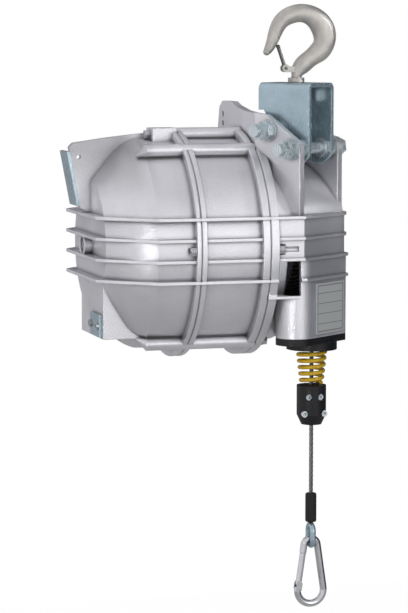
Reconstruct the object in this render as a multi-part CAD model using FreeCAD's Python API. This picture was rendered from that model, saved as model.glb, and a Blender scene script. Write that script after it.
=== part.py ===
import FreeCAD, Part
import math
import os

V = FreeCAD.Vector

# Large spring tool balancer, millimetres.
# Origin: the seat at the top of the hook's bowl, where the balancer hangs.
# +X runs along the drum axis towards the rope end, +Y to the back, +Z up.

# Drum axis, parallel to X
AXIS_Y = 80.0
AXIS_Z = -312.0

# Spring cases, the widest pieces inside, which the castings are sized round
SPRING_CASE_R = 128.0
SPRING_CASE_ROOM = 15.0

# Castings of the housing
WALL = 7.0
SHELL_R = SPRING_CASE_R + SPRING_CASE_ROOM + WALL
FLANGE_HEIGHT = 12.0
FLANGE_R = SHELL_R + FLANGE_HEIGHT
FLANGE_CHAMFER = 1.6
CAP_JOINT_X = -161.0
GUIDE_JOINT_X = -62.0
CAP_FLANGE = 7.0
CASE_FLANGE_LEFT = 8.0
CASE_FLANGE_RIGHT = 11.0
GUIDE_FLANGE = 12.5

# Left end cover
CREASE_X = -219.0
CREASE_R = SHELL_R - 2.0
SHOULDER_X = -238.0
SHOULDER_R = SHELL_R - 8.0
NECK_DROP = 16.0
ARC_SAG = 0.3
END_X = -279.0
END_R = 91.0
BOSS_R = 17.0
BOSS_LENGTH = 12.0
BOSS_POCKET_R = 11.5
FIN_THICK = 8.0
FIN_TIP_X = -310.0
FIN_TIP_Z = 144.0
FIN_ROOT_Z = 52.0
FIN_FOOT_X = -294.0
FIN_CORNER_R = 6.0
FIN_KINK_INSET = 27.0
FIN_KINK_RISE = 7.0
FIN_HOLE_R = 3.0
FIN_HOLE_INSET = 14.0
FIN_HOLE_DROP = 20.0

# Small clearance between faces that come close to each other
FIT_GAP = 0.3

# Horizontal ribs around all castings
RIB_PITCH = 29.0
RIB_THICK = 4.3
RIB_HEIGHT = 8.0
RIB_R = SHELL_R + RIB_HEIGHT
RIB_COUNT = 4
RIB_END_STANDOFF = 14.0
GUIDE_RIB_PROUD = 3.0

# Worm box under the left end
WORM_BOX_FRONT = -74.0
WORM_BOX_BACK = 52.0
WORM_BOX_BOTTOM = -127.0
WORM_BOX_WALL = 6.0

# Tie bolts that hold the castings together
TIE_COUNT = 6
TIE_STANDOFF = 6.0
TIE_PCD_R = SHELL_R + TIE_STANDOFF
TIE_R = 4.0
TIE_BLIND_DEPTH = 12.0
TIE_CLEARANCE = 0.3
TIE_HEAD_R = 5.5
TIE_HEAD_LENGTH = 8.0
TIE_HEAD_RECESS = 1.2
TIE_BAR_R = 9.0
TIE_NOSE_LENGTH = 13.0
TIE_NOSE_R = 1.5
TOP_SCREW_Y = -16.0
TOP_BOSS_LENGTH = 35.0
TOP_BOSS_WIDTH = 34.0
TOP_BOSS_DEPTH = 27.0
TIE_NUT_LENGTH = 5.0
TIE_WASHER_R = 6.5
TIE_WASHER_THICK = 1.6
TIE_OVERRUN = 0.3

# Rope housing on the right
GUIDE_END_X = 66.0
GUIDE_END_R = 104.0
GUIDE_CONE_X = -20.0
GUIDE_CONE_DROP = 8.0
FRONT_STANDOFF = 4.0
FRONT_FLAT_Y = AXIS_Y - SHELL_R - FRONT_STANDOFF
LOW_RIB_START_X = 8.0
UPPER_RIB = 2
FACE_W = 52.0
BLOCK_END_X = 71.6
BLOCK_CORNER_R = 24.0
COLUMN_R = 27.0
COLUMN_ACROSS = -37.0
COLUMN_BACK_Y = 30.0
COLUMN_FLANK_TURN = 20.0
COLUMN_BOTTOM = -127.0
WINDOW_TOP = -17.0
WINDOW_BOTTOM = -66.0
WINDOW_SILL = 4.0
WINDOW_RIGHT_X = -15.0

# Suspension ears, turned about Z against the drum axis
EAR_TURN = 36.87
EAR_SPAN = 94.0
EAR_THICK = 11.0
EAR_FRONT_W = 43.0
EAR_BACK_W = -40.0
EAR_SHOULDER_Z = 144.0
EAR_TOP_Z = 184.0
EAR_TOP_W = -15.0
WEB_THICK = 11.0
WEB_TOP_Z = 199.0
SAFETY_HOLE_R = 4.5

# Suspension bracket
BRACKET_GAP = 49.0
BRACKET_PLATE = 6.0
BRACKET_HALF_WIDTH = 43.0
BRACKET_TOP_Z = 228.0
BRACKET_NECK_W = -29.0
BRACKET_STEP_Z = 190.0
BRACKET_BEND_R = 9.0
BRACKET_FOOT_R = 22.0

# The two bracket bolts
BOLT_R = 8.0
BOLT_CLEARANCE = 0.5
BOLT_PLACES = [(-11.0, 162.0), (29.0, 137.0)]
BOLT_HEAD_AF = 24.0
BOLT_HEAD_LENGTH = 10.0
BOLT_NUT_LENGTH = 13.0
BOLT_OVERRUN = 8.0
LOCK_NUT_LENGTH = 12.0
INNER_NUT_LENGTH = 10.0
BOLT_WASHER_R = 15.0
BOLT_WASHER_THICK = 3.0
SPACER_R = 13.0

# Swivel hook
HOOK_SHANK_R = 8.0
HOOK_COLLAR_R = 11.5
HOOK_COLLAR_LENGTH = 6.5
HOOK_BORE_CLEARANCE = 0.5
HOOK_NUT_AF = 27.0
HOOK_NUT_LENGTH = 14.0
THRUST_R = 15.0
THRUST_THICK = 5.0
HOOK_PIN_R = 1.6
HOOK_SECTION_POINTS = 12
LATCH_PIN_R = 2.0
LATCH_PIVOT_X = -16.5
LATCH_PIVOT_Z = -64.0
LATCH_WIRE_R = 2.6
LATCH_TIP_X = -26.8
LATCH_TIP_Z = -34.0

# Rope outlet and what hangs from it
LOAD_X = 24.0
LOAD_Y = -2.0
COVER_THICK = 10.0
COLLAR_R = 36.0
COLLAR_DROP = 12.0
BUSH_R = 12.0
BUSH_BORE_R = 4.6
ROPE_R = 3.0
BUFFER_TOP_R = 22.5
BUFFER_FOOT_R = 17.5
BUFFER_WIRE_R = 2.8
BUFFER_TURNS = 5
BUFFER_LENGTH = 52.0
CLAMP_R = 21.0
CLAMP_LENGTH = 56.0
CLAMP_TAPER_LENGTH = 14.0
CLAMP_FOOT_R = 14.5
CLAMP_SPLIT_GAP = 1.0
CLAMP_SCREW_R = 3.0
CLAMP_HEAD_R = 4.6
CLAMP_HEAD_LENGTH = 4.0
CLAMP_HEAD_ROOM = 0.3
CLAMP_SOCKET_AF = 4.0
CLAMP_SOCKET_DEPTH = 2.5
CLAMP_SCREW_SEAT = 11.0
CLAMP_SCREW_GRIP = 8.0
CLAMP_UPPER_SCREW_X = 8.5
CLAMP_UPPER_SCREW_DROP = 16.0
CLAMP_LOWER_SCREW_X = 14.5
CLAMP_LOWER_SCREW_DROP = 40.0
FREE_ROPE = 100.0
SLEEVE_R = 8.0
SLEEVE_LENGTH = 42.0
EYE_LENGTH = 38.0
EYE_HALF_WIDTH = 14.0
EYE_GROOVE_R = 4.2
CARABINER_WIRE_R = 5.0
CARABINER_LENGTH = 105.0
CARABINER_HALF_WIDTH = 24.5
CARABINER_EYE_HALF_WIDTH = 15.0
GATE_CLEARANCE = 0.4
GATE_INSET = 0.6
GATE_PIN_R = 1.5
CHEEK_R = 4.2
CHEEK_THICK = 1.6
GATE_TOP_SHARE = 0.82
GATE_FOOT_SHARE = 0.12

# Drum, springs and tensioning drive
SHAFT_R = 15.0
SHAFT_STUB_R = 9.0
SHAFT_CAP_R = 11.5
SHAFT_CAP_THICK = 5.0
BEARING_R = 26.0
BEARING_WIDTH = 12.0
BEARING_CLEARANCE = 0.05
DRUM_BIG_R = 99.5
DRUM_SMALL_R = 70.5
DRUM_LEFT_X = -44.0
DRUM_RIGHT_X = 50.0
DRUM_WALL = 7.0
DRUM_WEB_X = -4.0
DRUM_SLEEVE_R = 60.0
ROPE_TURNS = 5
DRUM_RIM_HEIGHT = 9.0
DRUM_RIM_THICK = 5.0
DRUM_FLANGE_ROOM = 13.0
DRUM_FLANGE_R = SHELL_R - WALL - DRUM_FLANGE_ROOM
DRUM_FLANGE_WIDTH = 16.0
DRUM_FLANGE_WALL = 6.0
SPRING_CASE_WALL = 3.0
SPRING_CASE_X = -152.0
SPRING_CASE_LENGTH = 44.0
SPRING_CASE_COUNT = 2
SPRING_TURNS = 9
SPRING_STRIP = 2.0
ARBOR_R = 24.0
WHEEL_TEETH = 56
WHEEL_MODULE = 3.0
WHEEL_WIDTH = 16.0
WHEEL_X = -256.0
WORM_PITCH_R = 13.0
WORM_SHAFT_R = 6.0
WORM_BUSH_R = 10.0
WORM_BUSH_FRONT_LENGTH = 12.0
WORM_BUSH_BACK_LENGTH = 14.0
DRIVE_POCKET_R = 9.0
WORM_THREAD_LENGTH = 48.0
WORM_DRIVE_AF = 9.0
WORM_DRIVE_LENGTH = 10.0
WORM_THREAD_TURNS = 4
WORM_TIP_CLEARANCE = 0.6
WORM_TIP_SHARE = 0.11
WORM_ROOT_SHARE = 0.29

# Small outside pieces
PLATE_THICK = 0.8
PLATE_LENGTH = 68.0
PLATE_HEIGHT = 71.5
PLATE_ACROSS = 10.5
PLATE_TOP = -51.0
STOP_PLATE_THICK = 4.0
STOP_PLATE_WIDTH = 44.0
SCREW_HEAD_R = 5.0
SCREW_HEAD_LENGTH = 3.5
COVER_LID_THICK = 4.0


def turned(across, face, height):
    """Point in the ears' frame: across the ears, out of their face, above the drum axis."""
    turn = math.radians(EAR_TURN)
    x = math.cos(turn) * across + math.sin(turn) * face
    y = math.sin(turn) * across - math.cos(turn) * face
    return V(x, y, AXIS_Z + height)


ACROSS = V(math.cos(math.radians(EAR_TURN)), math.sin(math.radians(EAR_TURN)), 0)
FACING = V(math.sin(math.radians(EAR_TURN)), -math.cos(math.radians(EAR_TURN)), 0)


def closed_face(points):
    return Part.Face(Part.makePolygon(points + points[:1]))


def revolve_drum(points):
    """Solid of revolution about the drum axis from (x, radius) points."""
    face = closed_face([V(x, AXIS_Y, AXIS_Z + radius) for x, radius in points])
    return face.revolve(V(0, AXIS_Y, AXIS_Z), V(1, 0, 0), 360)


def drum_cylinder(radius, x_start, x_end, y_off=0.0, z_off=0.0):
    """Cylinder parallel to the drum axis."""
    return Part.makeCylinder(radius, x_end - x_start, V(x_start, AXIS_Y + y_off, AXIS_Z + z_off), V(1, 0, 0))


def plan_prism(points, low, high):
    """Upright prism over (x, y) points, from low to high above the drum axis."""
    face = closed_face([V(x, y, AXIS_Z + low) for x, y in points])
    return face.extrude(V(0, 0, high - low))


def side_prism(points, y_start, y_end):
    """Prism along Y over (x, height above the drum axis) points."""
    face = closed_face([V(x, y_start, AXIS_Z + height) for x, height in points])
    return face.extrude(V(0, y_end - y_start, 0))


def end_prism(points, x_start, x_end):
    """Prism along X over (y, height) offsets from the drum axis."""
    face = closed_face([V(x_start, AXIS_Y + y_off, AXIS_Z + height) for y_off, height in points])
    return face.extrude(V(x_end - x_start, 0, 0))


def ear_prism(points, across_start, across_end):
    """Prism across the ears over (face, height) points."""
    face = closed_face([turned(across_start, w, height) for w, height in points])
    return face.extrude(ACROSS * (across_end - across_start))


def across_cylinder(radius, start, end, face, height):
    """Cylinder across the ears."""
    return Part.makeCylinder(radius, end - start, turned(start, face, height), ACROSS)


def hexagon(across_flats, length, base, direction, turn=0.0):
    """Hexagonal prism from a base point along a direction."""
    radius = across_flats / math.sqrt(3)
    points = []
    for k in range(6):
        angle = math.radians(60 * k + turn)
        points.append(V(radius * math.cos(angle), radius * math.sin(angle), 0))
    prism = closed_face(points).extrude(V(0, 0, length))
    prism.Placement = FreeCAD.Placement(base, FreeCAD.Rotation(V(0, 0, 1), direction))
    return prism


def load_cylinder(radius, top, length):
    """Cylinder on the load line, hanging down from a height above the drum axis."""
    return Part.makeCylinder(radius, length, V(LOAD_X, LOAD_Y, AXIS_Z + top - length))


def rib_levels():
    return [RIB_PITCH * (k - (RIB_COUNT - 1) / 2) for k in range(RIB_COUNT)]


def ribs(outline):
    """One flat rib over the same plan outline at each rib level."""
    half = RIB_THICK / 2
    return [plan_prism(outline, level - half, level + half) for level in rib_levels()]


def tie_places():
    """Offsets (y, z) of the tie bolts, the first one at the front."""
    places = []
    for k in range(TIE_COUNT):
        angle = math.radians(180 + 360 * k / TIE_COUNT)
        places.append((TIE_PCD_R * math.cos(angle), TIE_PCD_R * math.sin(angle)))
    return places


def long_tie_places():
    """The tie bolt places above and below, all but the front and back ones."""
    return [place for place in tie_places() if abs(place[1]) > TIE_PCD_R / 2]


def flange_screw_places():
    """The front and back places, where short screws hold each flange pair."""
    return [place for place in tie_places() if abs(place[1]) < TIE_PCD_R / 2]


def tie_bars(x_start, x_end):
    return [drum_cylinder(TIE_BAR_R, x_start, x_end, y_off, z_off) for y_off, z_off in long_tie_places()]


def tie_noses():
    """Noses that run each cast bar out onto the cover's cone."""
    noses = []
    for y_off, z_off in long_tie_places():
        share = (TIE_PCD_R - TIE_BAR_R) / TIE_PCD_R
        tip = V(CREASE_X - TIE_NOSE_LENGTH, AXIS_Y + y_off * share, AXIS_Z + z_off * share)
        foot = V(CREASE_X, AXIS_Y + y_off, AXIS_Z + z_off)
        rings = [
            Part.Wire(Part.makeCircle(TIE_NOSE_R, tip, V(1, 0, 0))),
            Part.Wire(Part.makeCircle(TIE_BAR_R, foot, V(1, 0, 0))),
        ]
        noses.append(Part.makeLoft(rings, True, True))
    return noses


def tie_bores(x_start, x_end, places):
    radius = TIE_R + TIE_CLEARANCE
    return [drum_cylinder(radius, x_start, x_end, y_off, z_off) for y_off, z_off in places]


def top_screw_place():
    """Offset (y, z) of the screw beside the top of the fin."""
    return (TOP_SCREW_Y, math.sqrt(TIE_PCD_R**2 - TOP_SCREW_Y**2))


def tie_blind_end():
    """Where the long tie bolts end inside the cover's bars."""
    return CREASE_X + TIE_BLIND_DEPTH


def head_recesses(x_start, x_end):
    """Half-round recesses that the flange screws' heads lie in."""
    radius = 2 * TIE_HEAD_R / math.sqrt(3) + TIE_HEAD_RECESS
    return [drum_cylinder(radius, x_start, x_end, y_off, z_off) for y_off, z_off in flange_screw_places()]


def cut_all(shape, tools):
    for tool in tools:
        shape = shape.cut(tool)
    return shape


def fuse_all(shapes):
    return shapes[0].multiFuse(shapes[1:]).removeSplitter()


def cover_profile(offset):
    """Outline of the left end cover, moved inward by an offset."""
    slope = math.atan2(SHOULDER_R - END_R, SHOULDER_X - END_X)
    shift = offset / math.cos(slope) - offset * math.tan(slope)
    return [
        (CAP_JOINT_X, 0),
        (CAP_JOINT_X, SHELL_R - offset),
        (CREASE_X, CREASE_R - offset),
        (SHOULDER_X, SHOULDER_R - offset),
        (END_X + offset, END_R - shift),
        (END_X + offset, 0),
    ]


def cover_shape():
    """Outside of the left end cover: flat end, cone and a round shoulder up to the crease."""
    points = [V(x, AXIS_Y, AXIS_Z + radius) for x, radius in cover_profile(0)]
    axis_start, rim, crease, shoulder, end, axis_end = points
    down = (end - shoulder).normalize()
    up = (crease - shoulder).normalize()
    neck = shoulder + down * NECK_DROP
    middle = shoulder + (down + up) * (NECK_DROP * ARC_SAG)
    edges = [
        Part.LineSegment(axis_start, rim).toShape(),
        Part.LineSegment(rim, crease).toShape(),
        Part.Arc(crease, middle, neck).toShape(),
        Part.LineSegment(neck, end).toShape(),
        Part.LineSegment(end, axis_end).toShape(),
        Part.LineSegment(axis_end, axis_start).toShape(),
    ]
    face = Part.Face(Part.Wire(edges))
    return face.revolve(V(0, AXIS_Y, AXIS_Z), V(1, 0, 0), 360)


def guide_profile(offset):
    """Outline of the rope housing's round shell, moved inward by an offset."""
    return [
        (GUIDE_JOINT_X, 0),
        (GUIDE_JOINT_X, SHELL_R - offset),
        (GUIDE_CONE_X, SHELL_R - GUIDE_CONE_DROP - offset),
        (GUIDE_END_X - offset, GUIDE_END_R - offset),
        (GUIDE_END_X - offset, 0),
    ]


def flange_ring(x_free, x_joint):
    """Flange ring, its rim chamfered on the joint side so that each pair shows a groove."""
    inward = FLANGE_CHAMFER if x_free > x_joint else -FLANGE_CHAMFER
    return revolve_drum(
        [
            (x_free, 0),
            (x_free, FLANGE_R - FLANGE_CHAMFER / 2),
            (x_free - inward / 2, FLANGE_R),
            (x_joint + inward, FLANGE_R),
            (x_joint, FLANGE_R - FLANGE_CHAMFER),
            (x_joint, 0),
        ]
    )


def cover_rib_outline():
    """Plan outline of a rib around the cover, back and front alike."""
    reach = RIB_R - SHELL_R
    half = [
        (CAP_JOINT_X, RIB_R),
        (CREASE_X, CREASE_R + reach),
        (END_X - 4, END_R + reach),
        (END_X - RIB_END_STANDOFF, END_R - 4),
    ]
    front = [(x, AXIS_Y - y_off) for x, y_off in half]
    back = [(x, AXIS_Y + y_off) for x, y_off in reversed(half)]
    return front + back


def guide_rib_outline():
    """Plan outline of a rib around the rope housing."""
    proud = GUIDE_RIB_PROUD
    front_y = FRONT_FLAT_Y - proud
    face = FACE_W + proud
    corner_x = slanted_x(front_y, face)
    end_x = BLOCK_END_X + proud
    end_y = slanted_y(end_x, face)
    back_y = AXIS_Y + GUIDE_END_R
    return [
        (GUIDE_JOINT_X, front_y),
        (corner_x, front_y),
        (end_x, end_y),
        (end_x, COLUMN_BACK_Y),
        (GUIDE_END_X + proud, COLUMN_BACK_Y + proud),
        (GUIDE_END_X + proud, back_y),
        (GUIDE_CONE_X, AXIS_Y + RIB_R - GUIDE_CONE_DROP),
        (GUIDE_JOINT_X, AXIS_Y + RIB_R),
    ]


def slanted_x(y, face):
    """Where a plane parallel to the slanted face crosses a given depth."""
    turn = math.radians(EAR_TURN)
    return (face + math.cos(turn) * y) / math.sin(turn)


def slanted_y(x, face):
    """Depth of a plane parallel to the slanted face at a given place along the drum axis."""
    turn = math.radians(EAR_TURN)
    return (math.sin(turn) * x - face) / math.cos(turn)


def block_outline(front_y, inset=0.0):
    """Plan outline of the block in front of the rope drum, flat in front and slanted at the right."""
    end_x = BLOCK_END_X - inset
    return [
        (GUIDE_JOINT_X, front_y + inset),
        (slanted_x(front_y + inset, FACE_W - inset), front_y + inset),
        (end_x, slanted_y(end_x, FACE_W - inset)),
        (end_x, COLUMN_BACK_Y - inset),
        (GUIDE_JOINT_X, COLUMN_BACK_Y - inset),
    ]


def round_corner(solid, place, radius):
    """Round the upright edge of a prism at a place in plan."""
    edges = []
    for edge in solid.Edges:
        if all(math.hypot(v.X - place[0], v.Y - place[1]) < FIT_GAP for v in edge.Vertexes):
            edges.append(edge)
    return solid.makeFillet(radius, edges)


def column_centre(height):
    """Centre of the column's round front corner."""
    return turned(COLUMN_ACROSS, FACE_W - COLUMN_R, height)


def column_front():
    return column_centre(0).y - COLUMN_R


def column_face(height, inset=0.0):
    """Plan face of the rope column: slanted face, round front corner and a flank behind it."""
    centre = column_centre(height)
    radius = COLUMN_R - inset
    flank = math.radians(COLUMN_FLANK_TURN)
    tangent = centre + FACING * radius
    left = centre + V(-math.cos(flank) * radius, math.sin(flank) * radius, 0)
    middle_angle = (math.pi - flank + math.radians(EAR_TURN - 90) + 2 * math.pi) / 2
    middle = centre + V(math.cos(middle_angle) * radius, math.sin(middle_angle) * radius, 0)
    end_x = BLOCK_END_X - inset
    right = V(end_x, slanted_y(end_x, FACE_W - inset), centre.z)
    back_right = V(end_x, COLUMN_BACK_Y - inset, centre.z)
    back_left_x = left.x + math.tan(flank) * (COLUMN_BACK_Y - inset - left.y)
    back_left = V(back_left_x, COLUMN_BACK_Y - inset, centre.z)
    edges = [
        Part.LineSegment(right, tangent).toShape(),
        Part.Arc(tangent, middle, left).toShape(),
        Part.LineSegment(left, back_left).toShape(),
        Part.LineSegment(back_left, back_right).toShape(),
        Part.LineSegment(back_right, right).toShape(),
    ]
    return Part.Face(Part.Wire(edges))


def column(low, high, inset=0.0):
    return column_face(low, inset).extrude(V(0, 0, high - low))


def end_cover():
    """Left casting: flanged cap with a stepped cone, fin, ribs, shaft boss and worm box."""
    solid = cover_shape()
    flange = flange_ring(CAP_JOINT_X - CAP_FLANGE, CAP_JOINT_X)
    boss = drum_cylinder(BOSS_R, END_X - BOSS_LENGTH, END_X)
    box = end_prism(
        [
            (WORM_BOX_FRONT, -RIB_PITCH),
            (WORM_BOX_FRONT, WORM_BOX_BOTTOM),
            (WORM_BOX_BACK, WORM_BOX_BOTTOM),
            (WORM_BOX_BACK, -RIB_PITCH),
        ],
        END_X,
        CREASE_X,
    )
    fin = side_prism(
        [
            (FIN_FOOT_X, FIN_ROOT_Z),
            (FIN_TIP_X, FIN_TIP_Z - FIN_CORNER_R),
            (FIN_TIP_X + FIN_CORNER_R, FIN_TIP_Z),
            (END_X + FIN_KINK_INSET, FIN_TIP_Z + FIN_KINK_RISE),
            (CAP_JOINT_X - CAP_FLANGE, FLANGE_R - 2),
            (CAP_JOINT_X - CAP_FLANGE, 0),
            (END_X + 1, 0),
            (END_X + 1, FIN_ROOT_Z - 8),
        ],
        AXIS_Y - FIN_THICK / 2,
        AXIS_Y + FIN_THICK / 2,
    )
    bars = tie_bars(CREASE_X, CAP_JOINT_X) + tie_noses()
    y_off, z_off = top_screw_place()
    corner = V(
        CAP_JOINT_X - TOP_BOSS_LENGTH,
        AXIS_Y + y_off - TOP_BOSS_WIDTH / 2,
        AXIS_Z + z_off + TIE_BAR_R - TOP_BOSS_DEPTH,
    )
    top_boss = Part.makeBox(TOP_BOSS_LENGTH, TOP_BOSS_WIDTH, TOP_BOSS_DEPTH, corner)
    body = fuse_all([solid, flange, boss, box, fin, top_boss] + ribs(cover_rib_outline()) + bars)
    inner = revolve_drum(cover_profile(WALL))
    hollow_box = end_prism(
        [
            (WORM_BOX_FRONT + WORM_BOX_WALL, -RIB_PITCH),
            (WORM_BOX_FRONT + WORM_BOX_WALL, WORM_BOX_BOTTOM + WORM_BOX_WALL),
            (WORM_BOX_BACK - WORM_BOX_WALL, WORM_BOX_BOTTOM + WORM_BOX_WALL),
            (WORM_BOX_BACK - WORM_BOX_WALL, -RIB_PITCH),
        ],
        END_X + WALL,
        CREASE_X - WALL,
    )
    pocket = drum_cylinder(BOSS_POCKET_R, END_X - BOSS_LENGTH, END_X - 4)
    shaft_bore = drum_cylinder(SHAFT_STUB_R + BEARING_CLEARANCE, END_X - 4, END_X + WALL)
    worm_bore = Part.makeCylinder(
        WORM_BUSH_R,
        2 * WORM_BOX_WALL,
        V(WHEEL_X, AXIS_Y + WORM_BOX_BACK - WORM_BOX_WALL, AXIS_Z + worm_height()),
        V(0, 1, 0),
    )
    drive_pocket = Part.makeCylinder(
        DRIVE_POCKET_R,
        3 * WORM_DRIVE_LENGTH,
        V(WHEEL_X, AXIS_Y + WORM_BOX_BACK, AXIS_Z + worm_height()),
        V(0, 1, 0),
    )
    tip_hole = Part.makeCylinder(
        FIN_HOLE_R,
        FIN_THICK,
        V(FIN_TIP_X + FIN_HOLE_INSET, AXIS_Y - FIN_THICK / 2, AXIS_Z + FIN_TIP_Z - FIN_HOLE_DROP),
        V(0, 1, 0),
    )
    hollows = [inner, hollow_box, pocket, shaft_bore, worm_bore, drive_pocket, tip_hole]
    left = CAP_JOINT_X - CAP_FLANGE
    bores = tie_bores(tie_blind_end(), CAP_JOINT_X, long_tie_places())
    bores += tie_bores(left, CAP_JOINT_X, flange_screw_places())
    bores += tie_bores(CAP_JOINT_X - TOP_BOSS_LENGTH, CAP_JOINT_X, [top_screw_place()])
    recesses = head_recesses(left - TIE_HEAD_LENGTH - 2, left)
    return cut_all(body, hollows + bores + recesses)


def drum_housing():
    """Middle casting: open barrel with a flange at each end, ribs and tie bars."""
    barrel = drum_cylinder(SHELL_R, CAP_JOINT_X, GUIDE_JOINT_X)
    left = flange_ring(CAP_JOINT_X + CASE_FLANGE_LEFT, CAP_JOINT_X)
    right = flange_ring(GUIDE_JOINT_X - CASE_FLANGE_RIGHT, GUIDE_JOINT_X)
    outline = [
        (CAP_JOINT_X, AXIS_Y - RIB_R),
        (GUIDE_JOINT_X, AXIS_Y - RIB_R),
        (GUIDE_JOINT_X, AXIS_Y + RIB_R),
        (CAP_JOINT_X, AXIS_Y + RIB_R),
    ]
    bars = tie_bars(CAP_JOINT_X, GUIDE_JOINT_X)
    bars.append(drum_cylinder(TIE_BAR_R, CAP_JOINT_X, GUIDE_JOINT_X, *top_screw_place()))
    body = fuse_all([barrel, left, right] + ribs(outline) + bars)
    inner = drum_cylinder(SHELL_R - WALL, CAP_JOINT_X, GUIDE_JOINT_X)
    bores = tie_bores(CAP_JOINT_X, GUIDE_JOINT_X, tie_places())
    bores += tie_bores(CAP_JOINT_X, CAP_JOINT_X + CASE_FLANGE_LEFT, [top_screw_place()])
    return cut_all(body, [inner] + bores)


def ear(across_start):
    """One suspension ear, a plate with a slanted shoulder."""
    return ear_prism(
        [
            (EAR_BACK_W, RIB_PITCH),
            (EAR_BACK_W, EAR_TOP_Z + 3),
            (EAR_TOP_W, EAR_TOP_Z),
            (EAR_FRONT_W, EAR_SHOULDER_Z),
            (EAR_FRONT_W, RIB_PITCH),
        ],
        across_start,
        across_start + EAR_THICK,
    )


def upstand():
    """Web that stands up from the joint flange and carries the near ear."""
    return end_prism(
        [
            (-84.0, 100.0),
            (-84.0, EAR_TOP_Z + 1),
            (-31.0, EAR_TOP_Z + 4),
            (14.0, WEB_TOP_Z - 5),
            (31.0, WEB_TOP_Z),
            (72.0, WEB_TOP_Z),
            (87.0, WEB_TOP_Z - 9),
            (110.0, 100.0),
        ],
        GUIDE_JOINT_X,
        GUIDE_JOINT_X + WEB_THICK,
    )


def beyond_slanted_face():
    """Everything in front of the slanted face."""
    return ear_prism(
        [(FACE_W, -SHELL_R), (FACE_W + SHELL_R, -SHELL_R), (FACE_W + SHELL_R, SHELL_R), (FACE_W, SHELL_R)],
        -SHELL_R,
        SHELL_R,
    )


def guide_ribs():
    """Ribs of the rope housing, the upper ones rounded, the lowest one only on the slanted face."""
    outline = guide_rib_outline()
    shapes = ribs(outline)
    for k in range(UPPER_RIB, RIB_COUNT):
        shapes[k] = round_corner(shapes[k], outline[2], BLOCK_CORNER_R + GUIDE_RIB_PROUD)
    height = 2 * RIB_THICK
    base = V(GUIDE_JOINT_X + GUIDE_FLANGE, FRONT_FLAT_Y - RIB_PITCH, AXIS_Z + rib_levels()[0] - RIB_THICK)
    room = Part.makeBox(LOW_RIB_START_X - base.x, RIB_PITCH, height, base)
    shapes[0] = shapes[0].cut(room)
    return shapes


def rope_housing():
    """Right casting: cone shell, ribbed front block with the window, rope column, ears and upstand."""
    shell = revolve_drum(guide_profile(0)).cut(beyond_slanted_face())
    flange = flange_ring(GUIDE_JOINT_X + GUIDE_FLANGE, GUIDE_JOINT_X)
    level = rib_levels()[-1]
    step = rib_levels()[UPPER_RIB - 1]
    upper_outline = block_outline(FRONT_FLAT_Y)
    upper = round_corner(plan_prism(upper_outline, step, level), upper_outline[2], BLOCK_CORNER_R)
    front = column_front()
    lower_outline = block_outline(front)
    tangent = column_centre(0) + FACING * COLUMN_R
    lower_outline[1:2] = [(column_centre(0).x, front), (tangent.x, tangent.y)]
    lower = plan_prism(lower_outline, WINDOW_BOTTOM - WINDOW_SILL, step)
    rope_column = column(COLUMN_BOTTOM, step)
    left_ear = ear(-EAR_SPAN / 2 - EAR_THICK / 2)
    right_ear = ear(EAR_SPAN / 2 - EAR_THICK / 2)
    keep = Part.makeBox(400, 600, 800, V(GUIDE_JOINT_X, -200, AXIS_Z - 400))
    pieces = [shell, flange, upper, lower, rope_column, left_ear, right_ear, upstand()]
    body = fuse_all(pieces + guide_ribs()).common(keep)
    inner_shell = revolve_drum(guide_profile(WALL))
    inner_block = plan_prism(block_outline(front, WALL), WINDOW_BOTTOM, level - WALL)
    inner_column = column(COLUMN_BOTTOM, WINDOW_BOTTOM, WALL)
    window = Part.makeBox(
        WINDOW_RIGHT_X - GUIDE_JOINT_X - GUIDE_FLANGE,
        3 * WALL,
        WINDOW_TOP - WINDOW_BOTTOM,
        V(GUIDE_JOINT_X + GUIDE_FLANGE, front - WALL, AXIS_Z + WINDOW_BOTTOM),
    )
    seat = drum_cylinder(SHAFT_STUB_R + BEARING_CLEARANCE, GUIDE_JOINT_X, GUIDE_END_X)
    holes = [across_cylinder(BOLT_R + BOLT_CLEARANCE, -EAR_SPAN, EAR_SPAN, w, h) for w, h in BOLT_PLACES]
    safety = [
        drum_cylinder(SAFETY_HOLE_R, GUIDE_JOINT_X, GUIDE_JOINT_X + WEB_THICK, 70, 180),
        drum_cylinder(SAFETY_HOLE_R, GUIDE_JOINT_X, GUIDE_JOINT_X + WEB_THICK, 70, 166),
    ]
    bores = tie_bores(GUIDE_JOINT_X, GUIDE_CONE_X, tie_places())
    hollows = [inner_shell, inner_block, inner_column, window, seat]
    right = GUIDE_JOINT_X + GUIDE_FLANGE
    recesses = head_recesses(right, right + TIE_HEAD_LENGTH + 2)
    nut_room = TIE_WASHER_THICK + TIE_NUT_LENGTH + 2
    for y_off, z_off in long_tie_places():
        recesses.append(drum_cylinder(TIE_WASHER_R + 1, right, right + nut_room, y_off, z_off))
    return cut_all(body, hollows + holes + safety + bores + recesses)


def rope_guide_cover():
    """Black cover under the column with the round collar that takes the buffer spring."""
    plate = column(COLUMN_BOTTOM - COVER_THICK, COLUMN_BOTTOM).cut(revolve_drum(guide_profile(-FIT_GAP)))
    collar = load_cylinder(COLLAR_R, COLUMN_BOTTOM - COVER_THICK, COLLAR_DROP)
    bore = load_cylinder(BUSH_R, COLUMN_BOTTOM, COVER_THICK + COLLAR_DROP)
    return fuse_all([plate, collar]).cut(bore)


def guide_bush():
    """Rope guide bush in the cover, with a rounded mouth."""
    top = COLUMN_BOTTOM
    length = COVER_THICK + COLLAR_DROP
    bush = load_cylinder(BUSH_R - BEARING_CLEARANCE, top, length)
    bore = load_cylinder(BUSH_BORE_R, top, length)
    return bush.cut(bore)


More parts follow.
